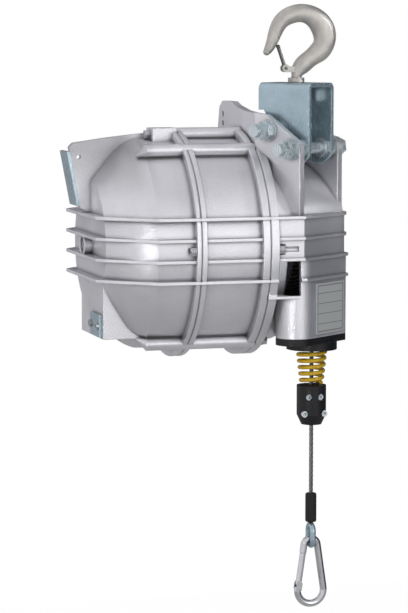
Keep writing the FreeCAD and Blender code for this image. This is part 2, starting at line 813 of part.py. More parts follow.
def bracket_profile(outer, top, bottom, bend):
    """Closed half outline of a U seen along its faces, as edges from foot to foot."""
    slant = bend * (1 - math.sqrt(0.5))
    left_foot = turned(-outer, 0, bottom)
    left_bend = turned(-outer, 0, top - bend)
    left_mid = turned(-outer + slant, 0, top - slant)
    left_top = turned(-outer + bend, 0, top)
    right_top = turned(outer - bend, 0, top)
    right_mid = turned(outer - slant, 0, top - slant)
    right_bend = turned(outer, 0, top - bend)
    right_foot = turned(outer, 0, bottom)
    edges = [
        Part.LineSegment(left_foot, left_bend).toShape(),
        Part.Arc(left_bend, left_mid, left_top).toShape(),
        Part.LineSegment(left_top, right_top).toShape(),
        Part.Arc(right_top, right_mid, right_bend).toShape(),
        Part.LineSegment(right_bend, right_foot).toShape(),
        Part.LineSegment(right_foot, left_foot).toShape(),
    ]
    return Part.Face(Part.Wire(edges))


def suspension_bracket():
    """Bent plate bracket: a U with notched, round-footed legs, bolt holes and the hook bore."""
    foot_z = BOLT_PLACES[1][1]
    bottom = foot_z - BRACKET_FOOT_R - 5
    inner_half = BRACKET_GAP / 2
    outer_half = inner_half + BRACKET_PLATE
    outer = bracket_profile(outer_half, BRACKET_TOP_Z, bottom, BRACKET_BEND_R)
    inner_top = BRACKET_TOP_Z - BRACKET_PLATE
    inner = bracket_profile(inner_half, inner_top, bottom, BRACKET_BEND_R - BRACKET_PLATE)
    section = outer.cut(inner)
    section.translate(FACING * -BRACKET_HALF_WIDTH)
    channel = section.extrude(FACING * (2 * BRACKET_HALF_WIDTH))
    leg = ear_prism(
        [
            (-BRACKET_HALF_WIDTH, BRACKET_TOP_Z + 1),
            (BRACKET_HALF_WIDTH, BRACKET_TOP_Z + 1),
            (BRACKET_HALF_WIDTH, foot_z),
            (BRACKET_NECK_W, foot_z),
            (BRACKET_NECK_W, BRACKET_STEP_Z - 8),
            (BRACKET_NECK_W - 5, BRACKET_STEP_Z),
            (-BRACKET_HALF_WIDTH, BRACKET_STEP_Z),
        ],
        -outer_half,
        outer_half,
    )
    foot_w = BRACKET_HALF_WIDTH - BRACKET_FOOT_R
    foot = across_cylinder(BRACKET_FOOT_R, -outer_half, outer_half, foot_w, foot_z)
    body = channel.common(leg.fuse(foot))
    holes = [across_cylinder(BOLT_R + BOLT_CLEARANCE, -EAR_SPAN, EAR_SPAN, w, h) for w, h in BOLT_PLACES]
    bore_base = V(0, 0, AXIS_Z + BRACKET_TOP_Z - 2 * BRACKET_PLATE)
    bore = Part.makeCylinder(HOOK_SHANK_R + HOOK_BORE_CLEARANCE, 3 * BRACKET_PLATE, bore_base)
    return cut_all(body, holes + [bore]).removeSplitter()


def ear_outer():
    return EAR_SPAN / 2 + EAR_THICK / 2


def bracket_bolts():
    """Two hexagon bolts across the ears, heads at the back."""
    shapes = []
    start = -ear_outer() - BOLT_WASHER_THICK - BOLT_NUT_LENGTH - LOCK_NUT_LENGTH - BOLT_OVERRUN
    end = ear_outer() + BOLT_WASHER_THICK
    for w, height in BOLT_PLACES:
        shank = across_cylinder(BOLT_R, start, end, w, height)
        head = hexagon(BOLT_HEAD_AF, BOLT_HEAD_LENGTH, turned(end, w, height), ACROSS, 30)
        shapes.append(shank.fuse(head).removeSplitter())
    return Part.makeCompound(shapes)


def bored_hexagon(across_flats, length, base, direction, bore, turn=0.0):
    nut = hexagon(across_flats, length, base, direction, turn)
    return nut.cut(Part.makeCylinder(bore, length, base, direction))


def bracket_nuts():
    """Nut and lock nut on each bolt outside the near ear, and a nut inside the far leg."""
    shapes = []
    nut_end = -ear_outer() - BOLT_WASHER_THICK
    lock_end = nut_end - BOLT_NUT_LENGTH
    for w, height in BOLT_PLACES:
        places = [
            (nut_end - BOLT_NUT_LENGTH, BOLT_NUT_LENGTH, 30, BOLT_HEAD_AF),
            (lock_end - LOCK_NUT_LENGTH, LOCK_NUT_LENGTH, 0, BOLT_HEAD_AF - 3),
            (BRACKET_GAP / 2 - INNER_NUT_LENGTH, INNER_NUT_LENGTH, 30, BOLT_HEAD_AF),
        ]
        for start, length, turn, flats in places:
            base = turned(start, w, height)
            shapes.append(bored_hexagon(flats, length, base, ACROSS, BOLT_R, turn))
    return Part.makeCompound(shapes)


def ring_across(outer, start, length, w, height):
    ring = across_cylinder(outer, start, start + length, w, height)
    return ring.cut(across_cylinder(BOLT_R, start, start + length, w, height))


def bracket_washers():
    shapes = []
    for w, height in BOLT_PLACES:
        for start in (-ear_outer() - BOLT_WASHER_THICK, ear_outer()):
            shapes.append(ring_across(BOLT_WASHER_R, start, BOLT_WASHER_THICK, w, height))
    return Part.makeCompound(shapes)


def bracket_spacers():
    """Tube spacers that hold the bracket legs away from the ears."""
    leg = BRACKET_GAP / 2 + BRACKET_PLATE
    gap = EAR_SPAN / 2 - EAR_THICK / 2 - leg
    shapes = []
    for w, height in BOLT_PLACES:
        for start in (-leg - gap, leg):
            shapes.append(ring_across(SPACER_R, start, gap, w, height))
    return Part.makeCompound(shapes)


def hook_section(x, z, angle, half_width, half_thick):
    """Oval cross-section of the hook, across its centre line at an angle in the XZ plane."""
    turn = math.radians(angle)
    points = []
    for k in range(HOOK_SECTION_POINTS):
        phase = 2 * math.pi * k / HOOK_SECTION_POINTS
        along = half_width * math.cos(phase)
        y = half_thick * math.sin(phase)
        points.append(V(x + along * math.cos(turn), y, z + along * math.sin(turn)))
    curve = Part.BSplineCurve()
    curve.interpolate(Points=points, PeriodicFlag=True)
    return Part.Wire(curve.toShape())


def hook_bowl():
    """Forged bowl: a loft through ovals that thicken towards the back of the hook."""
    stations = [
        (0.0, -82.0, 0, 7.2, 7.2),
        (0.5, -75.5, 0, 7.4, 7.4),
        (4.5, -66.0, -28, 11.0, 8.5),
        (19.0, -51.5, -48, 12.5, 9.5),
        (36.5, -37.5, -34, 15.0, 10.5),
        (42.0, -24.0, 0, 16.0, 11.0),
        (31.0, 2.5, 45, 15.6, 11.0),
        (3.5, 12.7, 88, 12.7, 10.0),
        (-23.5, 0.0, 138, 11.0, 9.0),
        (-32.0, -16.5, 162, 9.5, 8.0),
        (-37.5, -31.0, 158, 7.6, 6.5),
        (-43.0, -40.5, 145, 5.6, 5.0),
    ]
    wires = [hook_section(*station) for station in stations]
    bowl = Part.makeLoft(wires, True, False)
    tip = Part.makeSphere(5.0, V(-43.6, 0, -41.2))
    return bowl.fuse(tip)


def hook_shank_bottom():
    web = AXIS_Z + BRACKET_TOP_Z - BRACKET_PLATE
    return web - FIT_GAP - THRUST_THICK - HOOK_NUT_LENGTH - 6


def suspension_hook():
    """Swivel hook: lofted bowl, latch lugs, collar and threaded shank."""
    web_top = AXIS_Z + BRACKET_TOP_Z
    collar_top = web_top + FIT_GAP + HOOK_COLLAR_LENGTH
    collar = Part.makeCylinder(HOOK_COLLAR_R, HOOK_COLLAR_LENGTH, V(0, 0, collar_top - HOOK_COLLAR_LENGTH))
    bottom = hook_shank_bottom()
    shank = Part.makeCylinder(HOOK_SHANK_R, collar_top - bottom, V(0, 0, bottom))
    lugs = []
    for side in (-1, 1):
        start = side * (LATCH_WIRE_R + 0.5)
        lug = Part.makeCylinder(5.5, 2.5, V(LATCH_PIVOT_X, start, LATCH_PIVOT_Z), V(0, side, 0))
        arm = Part.makeBox(14, 2.5, 8, V(LATCH_PIVOT_X, min(start, start + side * 2.5), LATCH_PIVOT_Z - 5.5))
        lugs += [lug, arm]
    body = fuse_all([hook_bowl(), collar, shank] + lugs)
    pivot = V(LATCH_PIVOT_X, -15, LATCH_PIVOT_Z)
    pin = Part.makeCylinder(LATCH_PIN_R + BEARING_CLEARANCE, 30, pivot, V(0, 1, 0))
    cotter = Part.makeCylinder(HOOK_PIN_R, 40, V(-20, 0, bottom + 3), V(1, 0, 0))
    return cut_all(body, [pin, cotter])


def hook_nut():
    web = AXIS_Z + BRACKET_TOP_Z - BRACKET_PLATE
    base = V(0, 0, web - FIT_GAP - THRUST_THICK - HOOK_NUT_LENGTH)
    return bored_hexagon(HOOK_NUT_AF, HOOK_NUT_LENGTH, base, V(0, 0, 1), HOOK_SHANK_R)


def hook_thrust_washer():
    web = AXIS_Z + BRACKET_TOP_Z - BRACKET_PLATE
    base = V(0, 0, web - FIT_GAP - THRUST_THICK)
    ring = Part.makeCylinder(THRUST_R, THRUST_THICK, base)
    return ring.cut(Part.makeCylinder(HOOK_SHANK_R, THRUST_THICK, base))


def hook_split_pin():
    """Split pin through the shank under the nut."""
    height = hook_shank_bottom() + 3
    pin = Part.makeCylinder(HOOK_PIN_R, 26, V(-14, 0, height), V(1, 0, 0))
    eye = Part.makeTorus(2.6, 1.2, V(-16.2, 0, height - 2), V(0, 1, 0))
    return pin.fuse(eye).removeSplitter()


def latch_pin():
    length = 2 * (LATCH_WIRE_R + 0.5 + 2.5) + 3
    return Part.makeCylinder(LATCH_PIN_R, length, V(LATCH_PIVOT_X, -length / 2, LATCH_PIVOT_Z), V(0, 1, 0))


def safety_latch():
    """Latch rod with a pivot eye and a rounded nose under the hook's tip."""
    pivot = V(LATCH_PIVOT_X, 0, LATCH_PIVOT_Z)
    nose = V(LATCH_TIP_X, 0, LATCH_TIP_Z)
    direction = nose - pivot
    rod = Part.makeCylinder(LATCH_WIRE_R, direction.Length, pivot, direction)
    end = Part.makeSphere(LATCH_WIRE_R + 0.4, nose)
    half = LATCH_WIRE_R + 0.2
    eye = Part.makeCylinder(4.6, 2 * half, V(pivot.x, -half, pivot.z), V(0, 1, 0))
    bore = Part.makeCylinder(LATCH_PIN_R + BEARING_CLEARANCE, 20, V(pivot.x, -10, pivot.z), V(0, 1, 0))
    return fuse_all([rod, end, eye]).cut(bore)


def tie_bolts():
    """Long tie bolts, screwed into the cover's bars and closed by nuts on the rope side."""
    shapes = []
    start = tie_blind_end() + FIT_GAP
    end = GUIDE_JOINT_X + GUIDE_FLANGE + TIE_WASHER_THICK + TIE_NUT_LENGTH + TIE_OVERRUN
    for y_off, z_off in long_tie_places():
        shapes.append(drum_cylinder(TIE_R, start, end, y_off, z_off))
    return Part.makeCompound(shapes)


def hexagon_screw(x_seat, x_tip, place):
    """Hexagon head screw parallel to the drum axis, from its seat to its tip."""
    side = -1 if x_tip > x_seat else 1
    shank = drum_cylinder(TIE_R, min(x_seat, x_tip), max(x_seat, x_tip), *place)
    base = V(x_seat, AXIS_Y + place[0], AXIS_Z + place[1])
    head = hexagon(2 * TIE_HEAD_R, TIE_HEAD_LENGTH, base, V(side, 0, 0), 30)
    return shank.fuse(head).removeSplitter()


def flange_screws():
    """Short flange screws at the front, back and top, from the cover side and from the rope side."""
    left = CAP_JOINT_X - CAP_FLANGE
    right = GUIDE_JOINT_X + GUIDE_FLANGE
    tip = CAP_JOINT_X + CASE_FLANGE_LEFT
    shapes = [hexagon_screw(CAP_JOINT_X - TOP_BOSS_LENGTH, tip, top_screw_place())]
    for place in flange_screw_places():
        shapes.append(hexagon_screw(left, tip, place))
        shapes.append(hexagon_screw(right, GUIDE_JOINT_X - CASE_FLANGE_RIGHT, place))
    return Part.makeCompound(shapes)


def tie_nuts():
    """Washer and nut on each tie bolt behind the rope housing's flange."""
    shapes = []
    start = GUIDE_JOINT_X + GUIDE_FLANGE
    for y_off, z_off in long_tie_places():
        washer = drum_cylinder(TIE_WASHER_R, start, start + TIE_WASHER_THICK, y_off, z_off)
        base = V(start + TIE_WASHER_THICK, AXIS_Y + y_off, AXIS_Z + z_off)
        nut = hexagon(2 * TIE_HEAD_R, TIE_NUT_LENGTH, base, V(1, 0, 0), 30)
        bore = drum_cylinder(TIE_R, start, start + 20, y_off, z_off)
        shapes.append(washer.fuse(nut).removeSplitter().cut(bore))
    return Part.makeCompound(shapes)


def main_shaft():
    """Spring arbor shaft: stub in the cover, wide arbor for the springs, drum journal, right end stub."""
    left = END_X - 3.5
    profile = [
        (left, 0),
        (left, SHAFT_STUB_R),
        (WHEEL_X - WHEEL_WIDTH / 2 - 2, SHAFT_STUB_R),
        (WHEEL_X - WHEEL_WIDTH / 2 - 2, SHAFT_R),
        (SPRING_CASE_X - 2, SHAFT_R),
        (SPRING_CASE_X - 2, ARBOR_R),
        (GUIDE_JOINT_X + 2, ARBOR_R),
        (GUIDE_JOINT_X + 2, SHAFT_R),
        (DRUM_RIGHT_X + 4, SHAFT_R),
        (DRUM_RIGHT_X + 4, SHAFT_STUB_R),
        (GUIDE_END_X - 1, SHAFT_STUB_R),
        (GUIDE_END_X - 1, 0),
    ]
    return revolve_drum(profile)


def shaft_screw():
    """Socket screw that closes the shaft's end in the boss pocket."""
    head = drum_cylinder(BOSS_POCKET_R - 4.5, END_X - 9.5, END_X - 3.5)
    socket = hexagon(6, 4, V(END_X - 9.5, AXIS_Y, AXIS_Z), V(1, 0, 0))
    return head.cut(socket)


def shaft_cap():
    """Cap over the shaft's right end on the outside of the rope housing."""
    rim = drum_cylinder(SHAFT_CAP_R, GUIDE_END_X, GUIDE_END_X + SHAFT_CAP_THICK)
    return rim.makeChamfer(1.5, [rim.Edges[0]])


def drum_bearings():
    """Two bearing rings between the drum's hub and the shaft."""
    shapes = []
    for start in (DRUM_LEFT_X + 4, DRUM_RIGHT_X - 4 - BEARING_WIDTH):
        ring = drum_cylinder(BEARING_R, start, start + BEARING_WIDTH)
        shapes.append(ring.cut(drum_cylinder(SHAFT_R + BEARING_CLEARANCE, start, start + BEARING_WIDTH)))
    return Part.makeCompound(shapes)


def drum_radius(x):
    """Outside radius of the conical rope drum at a place along its axis."""
    share = (x - DRUM_LEFT_X) / (DRUM_RIGHT_X - DRUM_LEFT_X)
    return DRUM_BIG_R + share * (DRUM_SMALL_R - DRUM_BIG_R)


def rope_drum():
    """Conical rope drum with a hub, a web, a wide left flange and a sleeve to the spring cases."""
    rim = DRUM_RIM_THICK
    outside = [
        (DRUM_LEFT_X, DRUM_FLANGE_R),
        (DRUM_LEFT_X + DRUM_FLANGE_WIDTH, DRUM_FLANGE_R),
        (DRUM_LEFT_X + DRUM_FLANGE_WIDTH, DRUM_FLANGE_R - DRUM_FLANGE_WALL),
        (DRUM_LEFT_X + rim, DRUM_FLANGE_R - DRUM_FLANGE_WALL),
        (DRUM_LEFT_X + rim, drum_radius(DRUM_LEFT_X + rim)),
        (DRUM_RIGHT_X - rim, drum_radius(DRUM_RIGHT_X - rim)),
        (DRUM_RIGHT_X - rim, DRUM_SMALL_R + DRUM_RIM_HEIGHT),
        (DRUM_RIGHT_X, DRUM_SMALL_R + DRUM_RIM_HEIGHT),
        (DRUM_RIGHT_X, DRUM_SMALL_R - DRUM_WALL),
        (DRUM_WEB_X + DRUM_WALL, drum_radius(DRUM_WEB_X) - DRUM_WALL),
        (DRUM_WEB_X + DRUM_WALL, BEARING_R + DRUM_WALL),
        (DRUM_RIGHT_X - 4, BEARING_R + DRUM_WALL),
        (DRUM_RIGHT_X - 4, BEARING_R),
        (DRUM_RIGHT_X - 4 - BEARING_WIDTH, BEARING_R),
        (DRUM_RIGHT_X - 4 - BEARING_WIDTH, BEARING_R - 4),
        (DRUM_LEFT_X + 4 + BEARING_WIDTH, BEARING_R - 4),
        (DRUM_LEFT_X + 4 + BEARING_WIDTH, BEARING_R),
        (GUIDE_JOINT_X + 2.5, BEARING_R),
        (GUIDE_JOINT_X + 2.5, DRUM_SLEEVE_R),
        (DRUM_LEFT_X + 5, DRUM_SLEEVE_R),
        (DRUM_LEFT_X + 5, BEARING_R + DRUM_WALL),
        (DRUM_WEB_X, BEARING_R + DRUM_WALL),
        (DRUM_WEB_X, drum_radius(DRUM_WEB_X) - DRUM_WALL),
        (DRUM_LEFT_X, DRUM_BIG_R - DRUM_WALL),
    ]
    return revolve_drum(outside)


def rope_centre_radius():
    return AXIS_Y - LOAD_Y


def rope_windings():
    """The wound rope as one closed band on the drum, ending where the rope leaves it."""
    pitch = 2 * ROPE_R + 1
    shapes = []
    end = LOAD_X - pitch / 2
    start = end - (ROPE_TURNS - 1) * pitch
    band = revolve_drum(
        [
            (start, drum_radius(start)),
            (end, drum_radius(end)),
            (end, drum_radius(end) + 2 * ROPE_R),
            (start, drum_radius(start) + 2 * ROPE_R),
        ]
    )
    radius = rope_centre_radius()
    half = ROPE_R
    points = [
        (LOAD_X - half, drum_radius(LOAD_X - half)),
        (LOAD_X + half, drum_radius(LOAD_X + half)),
        (LOAD_X + half, radius + half),
        (LOAD_X - half, radius + half),
    ]
    face = closed_face([V(x, AXIS_Y - r, AXIS_Z) for x, r in points])
    last = face.revolve(V(0, AXIS_Y, AXIS_Z), V(1, 0, 0), -300)
    return Part.makeCompound([band, last])


def spring_cases():
    """Two round spring cans fixed to the drum's sleeve."""
    shapes = []
    for k in range(SPRING_CASE_COUNT):
        start = SPRING_CASE_X + k * SPRING_CASE_LENGTH
        end = start + SPRING_CASE_LENGTH
        wall = SPRING_CASE_WALL
        can = revolve_drum(
            [
                (start, ARBOR_R + 1),
                (start, SPRING_CASE_R),
                (end, SPRING_CASE_R),
                (end, ARBOR_R + 1),
                (end - wall, ARBOR_R + 1),
                (end - wall, SPRING_CASE_R - wall),
                (start + wall, SPRING_CASE_R - wall),
                (start + wall, ARBOR_R + 1),
            ]
        )
        shapes.append(can)
    return Part.makeCompound(shapes)


def spiral_edges(radius, growth, turns, x):
    """Half-circle arcs that wind outward about the drum axis, each half turn one step wider."""
    edges = []
    side = 1
    centre = 0.0
    for k in range(2 * turns):
        step = growth / 2
        start = V(x, AXIS_Y, AXIS_Z + centre - side * radius)
        middle = V(x, AXIS_Y + side * radius, AXIS_Z + centre)
        end = V(x, AXIS_Y, AXIS_Z + centre + side * radius)
        edges.append(Part.Arc(start, middle, end).toShape())
        centre = centre - side * step / 2
        radius = radius + step / 2
        side = -side
    return edges


def mainsprings():
    """One flat spiral spring in each can."""
    shapes = []
    room = SPRING_CASE_R - SPRING_CASE_WALL - ARBOR_R
    growth = (room - 6) / SPRING_TURNS
    for k in range(SPRING_CASE_COUNT):
        x = SPRING_CASE_X + k * SPRING_CASE_LENGTH + SPRING_CASE_WALL + FIT_GAP
        width = SPRING_CASE_LENGTH - 2 * SPRING_CASE_WALL - 2 * FIT_GAP
        first = spiral_edges(ARBOR_R + 2, growth, SPRING_TURNS, x)
        second = spiral_edges(ARBOR_R + 2 + SPRING_STRIP, growth, SPRING_TURNS, x)
        inner_end = Part.LineSegment(first[0].Vertexes[0].Point, second[0].Vertexes[0].Point).toShape()
        outer_end = Part.LineSegment(first[-1].Vertexes[-1].Point, second[-1].Vertexes[-1].Point).toShape()
        outline = Part.Wire(Part.__sortEdges__(first + second + [inner_end, outer_end]))
        shapes.append(Part.Face(outline).extrude(V(width, 0, 0)))
    return Part.makeCompound(shapes)


def tooth_wire(x, twist):
    """Outline of the worm wheel at one face, its teeth turned by a small twist."""
    pitch_r = WHEEL_TEETH * WHEEL_MODULE / 2
    tip_r = pitch_r + WHEEL_MODULE
    root_r = pitch_r - 1.25 * WHEEL_MODULE
    tooth = 2 * math.pi / WHEEL_TEETH
    root_half = tooth * 0.36
    tip_half = tooth * 0.13
    points = []
    for k in range(WHEEL_TEETH):
        middle = tooth * k - math.pi / 2 + tooth / 2 + twist
        for radius, angle in (
            (root_r, middle - root_half),
            (tip_r, middle - tip_half),
            (tip_r, middle + tip_half),
            (root_r, middle + root_half),
        ):
            points.append(V(x, AXIS_Y + radius * math.cos(angle), AXIS_Z + radius * math.sin(angle)))
    return Part.makePolygon(points + points[:1])


def worm_wheel():
    """Worm wheel keyed on the shaft, with teeth slanted to the worm's lead."""
    lead_angle = math.atan(WHEEL_MODULE / (2 * WORM_PITCH_R))
    twist = math.tan(lead_angle) * WHEEL_WIDTH / (WHEEL_TEETH * WHEEL_MODULE)
    left = tooth_wire(WHEEL_X - WHEEL_WIDTH / 2, -twist)
    right = tooth_wire(WHEEL_X + WHEEL_WIDTH / 2, twist)
    wheel = Part.makeLoft([left, right], True, True)
    return wheel.cut(drum_cylinder(SHAFT_R, WHEEL_X - WHEEL_WIDTH, WHEEL_X + WHEEL_WIDTH))


def worm_height():
    return -(WHEEL_TEETH * WHEEL_MODULE / 2 + WORM_PITCH_R)


def worm_thread(root_r):
    """Right-hand thread of the worm, in step with the gap at the bottom of the wheel."""
    pitch = math.pi * WHEEL_MODULE
    tip_r = WORM_PITCH_R + WHEEL_MODULE - WORM_TIP_CLEARANCE
    inner_r = root_r - WORM_TIP_CLEARANCE
    helix = Part.makeHelix(pitch, WORM_THREAD_TURNS * pitch, root_r)
    points = [
        V(inner_r, 0, -WORM_ROOT_SHARE * pitch),
        V(inner_r, 0, WORM_ROOT_SHARE * pitch),
        V(tip_r, 0, WORM_TIP_SHARE * pitch),
        V(tip_r, 0, -WORM_TIP_SHARE * pitch),
    ]
    profile = Part.makePolygon(points + points[:1])
    thread = Part.Wire(helix.Edges).makePipeShell([profile], True, True)
    turns_before = WORM_THREAD_TURNS // 2 - 0.25
    base = V(WHEEL_X, AXIS_Y - turns_before * pitch, AXIS_Z + worm_height())
    thread.Placement = FreeCAD.Placement(base, FreeCAD.Rotation(V(0, 0, 1), V(0, 1, 0)))
    return thread


def worm():
    """Worm on its shaft: one helical thread, journals at both ends and a hexagon at the back."""
    front = AXIS_Y + WORM_BOX_FRONT + WORM_BOX_WALL + 1
    back = AXIS_Y + WORM_BOX_BACK
    z = AXIS_Z + worm_height()
    root_r = WORM_PITCH_R - 1.25 * WHEEL_MODULE
    shaft = Part.makeCylinder(WORM_SHAFT_R, back - front, V(WHEEL_X, front, z), V(0, 1, 0))
    length = WORM_THREAD_LENGTH
    core = Part.makeCylinder(root_r, length, V(WHEEL_X, AXIS_Y - length / 2, z), V(0, 1, 0))
    drive = hexagon(WORM_DRIVE_AF, WORM_DRIVE_LENGTH, V(WHEEL_X, back, z), V(0, 1, 0))
    return fuse_all([shaft, core, worm_thread(root_r), drive])


def worm_bushes():
    """Flanged bushes that carry the worm's shaft in the box walls."""
    z = AXIS_Z + worm_height()
    shapes = []
    front = AXIS_Y + WORM_BOX_FRONT + WORM_BOX_WALL
    back = AXIS_Y + WORM_BOX_BACK - WORM_BUSH_BACK_LENGTH
    for y, length in ((front, WORM_BUSH_FRONT_LENGTH), (back, WORM_BUSH_BACK_LENGTH)):
        bush = Part.makeCylinder(WORM_BUSH_R, length, V(WHEEL_X, y, z), V(0, 1, 0))
        bore = Part.makeCylinder(WORM_SHAFT_R + BEARING_CLEARANCE, length, V(WHEEL_X, y, z), V(0, 1, 0))
        shapes.append(bush.cut(bore))
    return Part.makeCompound(shapes)


def buffer_top():
    return COLUMN_BOTTOM - COVER_THICK - COLLAR_DROP


def clamp_top():
    return buffer_top() - BUFFER_LENGTH


def upper_rope():
    """Rope from where it leaves the drum down to the stop clamp."""
    return load_cylinder(ROPE_R, 0, -clamp_top())


def buffer_spring():
    """Conical rubber-like buffer spring between the collar and the stop clamp."""
    return helix_coil(BUFFER_LENGTH - 2 * BUFFER_WIRE_R - FIT_GAP)


def helix_coil(rise):
    """Round wire wound as a cone about the load line."""
    taper = math.degrees(math.atan((BUFFER_TOP_R - BUFFER_FOOT_R) / rise))
    helix = Part.makeHelix(rise / BUFFER_TURNS, rise, BUFFER_FOOT_R - BUFFER_WIRE_R, taper)
    start = helix.Edges[0].valueAt(helix.Edges[0].FirstParameter)
    tangent = helix.Edges[0].tangentAt(helix.Edges[0].FirstParameter)
    profile = Part.Wire(Part.makeCircle(BUFFER_WIRE_R, start, tangent))
    coil = Part.Wire(helix.Edges).makePipeShell([profile], True, True)
    coil.translate(V(LOAD_X, LOAD_Y, AXIS_Z + clamp_top() + BUFFER_WIRE_R))
    return coil


def clamp_body():
    straight = CLAMP_LENGTH - CLAMP_TAPER_LENGTH
    barrel = load_cylinder(CLAMP_R, clamp_top(), straight)
    top = AXIS_Z + clamp_top() - CLAMP_LENGTH
    cone = Part.makeCone(CLAMP_FOOT_R, CLAMP_R, CLAMP_TAPER_LENGTH, V(LOAD_X, LOAD_Y, top))
    return barrel.fuse(cone).removeSplitter()


def clamp_screw_places():
    """(x offset, height) of the clamp screws, two rows."""
    upper = clamp_top() - CLAMP_UPPER_SCREW_DROP
    lower = clamp_top() - CLAMP_LOWER_SCREW_DROP
    places = [(side * CLAMP_UPPER_SCREW_X, upper) for side in (-1, 1)]
    return places + [(side * CLAMP_LOWER_SCREW_X, lower) for side in (-1, 1)]


def clamp_half(side):
    """One half of the rope stop clamp, -1 in front and +1 at the back."""
    width = 2 * CLAMP_R
    gap = CLAMP_SPLIT_GAP / 2
    y = LOAD_Y + gap if side > 0 else LOAD_Y - gap - width
    corner = V(LOAD_X - CLAMP_R, y, AXIS_Z + clamp_top() - CLAMP_LENGTH)
    box = Part.makeBox(width, width, CLAMP_LENGTH, corner)
    half = clamp_body().common(box)
    bore = load_cylinder(ROPE_R, clamp_top(), CLAMP_LENGTH)
    cuts = [bore]
    for x_off, height in clamp_screw_places():
        base = V(LOAD_X + x_off, LOAD_Y - CLAMP_R, AXIS_Z + height)
        cuts.append(Part.makeCylinder(CLAMP_SCREW_R, width, base, V(0, 1, 0)))
        if side < 0:
            depth = CLAMP_R - CLAMP_SCREW_SEAT
            cuts.append(Part.makeCylinder(CLAMP_HEAD_R + CLAMP_HEAD_ROOM, depth, base, V(0, 1, 0)))
    return cut_all(half, cuts)


def stop_clamp_front():
    return clamp_half(-1)


def stop_clamp_back():
    return clamp_half(1)


def clamp_screws():
    shapes = []
    for x_off, height in clamp_screw_places():
        seat = V(LOAD_X + x_off, LOAD_Y - CLAMP_SCREW_SEAT, AXIS_Z + height)
        head = Part.makeCylinder(CLAMP_HEAD_R, CLAMP_HEAD_LENGTH, seat, V(0, -1, 0))
        length = CLAMP_SCREW_SEAT + CLAMP_SCREW_GRIP
        shank = Part.makeCylinder(CLAMP_SCREW_R, length, seat, V(0, 1, 0))
        face = seat + V(0, -CLAMP_HEAD_LENGTH, 0)
        socket = hexagon(CLAMP_SOCKET_AF, CLAMP_SOCKET_DEPTH, face, V(0, 1, 0))
        shapes.append(head.fuse(shank).removeSplitter().cut(socket))
    return Part.makeCompound(shapes)


def sleeve_top():
    return clamp_top() - CLAMP_LENGTH - FREE_ROPE


def lower_rope():
    """Load rope from inside the clamp down into the sleeve."""
    return load_cylinder(ROPE_R, clamp_top(), CLAMP_LENGTH + FREE_ROPE + SLEEVE_LENGTH)


def rope_sleeve():
    """Black sleeve over the rope's splice, rounded at both ends."""
    body = load_cylinder(SLEEVE_R, sleeve_top(), SLEEVE_LENGTH)
    body = body.makeFillet(2.5, [edge for edge in body.Edges if edge.Curve.TypeId == "Part::GeomCircle"])
    return body.cut(load_cylinder(ROPE_R, sleeve_top(), SLEEVE_LENGTH))


def eye_top():
    return sleeve_top() - SLEEVE_LENGTH


def racetrack_tube(wire_r, half_width, bottom_half_width, length, top, plane):
    """Closed ring of round wire: two arcs joined by straight legs, in the XZ or YZ plane."""
    def place(across, height):
        if plane == "x":
            return V(LOAD_X + across, LOAD_Y, AXIS_Z + height)
        return V(LOAD_X, LOAD_Y + across, AXIS_Z + height)

    upper = half_width - wire_r
    lower = bottom_half_width - wire_r
    top_centre = top - wire_r - upper
    low_centre = top - length + wire_r + lower
    span = top_centre - low_centre
    lean = math.asin((lower - upper) / span)
    edges = []
    p1 = place(-upper * math.cos(lean), top_centre + upper * math.sin(lean))
    p2 = place(0, top_centre + upper)
    p3 = place(upper * math.cos(lean), top_centre + upper * math.sin(lean))
    q1 = place(-lower * math.cos(lean), low_centre + lower * math.sin(lean))
    q2 = place(0, low_centre - lower)
    q3 = place(lower * math.cos(lean), low_centre + lower * math.sin(lean))
    return p1, p2, p3, q1, q2, q3


def tube_along(edges, radius):
    path = Part.Wire(edges)
    start = path.Edges[0].valueAt(path.Edges[0].FirstParameter)
    tangent = path.Edges[0].tangentAt(path.Edges[0].FirstParameter)
    profile = Part.Wire(Part.makeCircle(radius, start, tangent))
    return path.makePipeShell([profile], True, True)


def thimble():
    """Rope eye with its thimble, edge-on to the front: a closed loop in the YZ plane."""
    p1, p2, p3, q1, q2, q3 = racetrack_tube(
        EYE_GROOVE_R, EYE_HALF_WIDTH, EYE_HALF_WIDTH, EYE_LENGTH, eye_top(), "y"
    )
    edges = [
        Part.Arc(p1, p2, p3).toShape(),
        Part.LineSegment(p3, q3).toShape(),
        Part.Arc(q3, q2, q1).toShape(),
        Part.LineSegment(q1, p1).toShape(),
    ]
    return tube_along(edges, EYE_GROOVE_R)


def carabiner_top():
    return eye_top() - EYE_LENGTH + 2 * EYE_GROOVE_R + 2 * CARABINER_WIRE_R + FIT_GAP


def carabiner_points():
    return racetrack_tube(
        CARABINER_WIRE_R,
        CARABINER_EYE_HALF_WIDTH,
        CARABINER_HALF_WIDTH,
        CARABINER_LENGTH,
        carabiner_top(),
        "x",
    )


def gate_radius():
    return CARABINER_WIRE_R - GATE_INSET


def gate_cheeks(pivot, direction):
    """Two cheeks on the lower stub that hold the gate's pin."""
    reach = direction * (2 * gate_radius())
    side = V(-direction.z, 0, direction.x) * CHEEK_R
    cheeks = []
    for facing in (-1, 1):
        start = V(0, facing * (gate_radius() + FIT_GAP), 0)
        thick = V(0, facing * CHEEK_THICK, 0)
        disc = Part.makeCylinder(CHEEK_R, CHEEK_THICK, pivot + start, V(0, facing, 0))
        corners = [pivot + start + side, pivot + start - side]
        corners += [corners[1] - reach, corners[0] - reach]
        cheeks += [disc, closed_face(corners).extrude(thick)]
    return cheeks


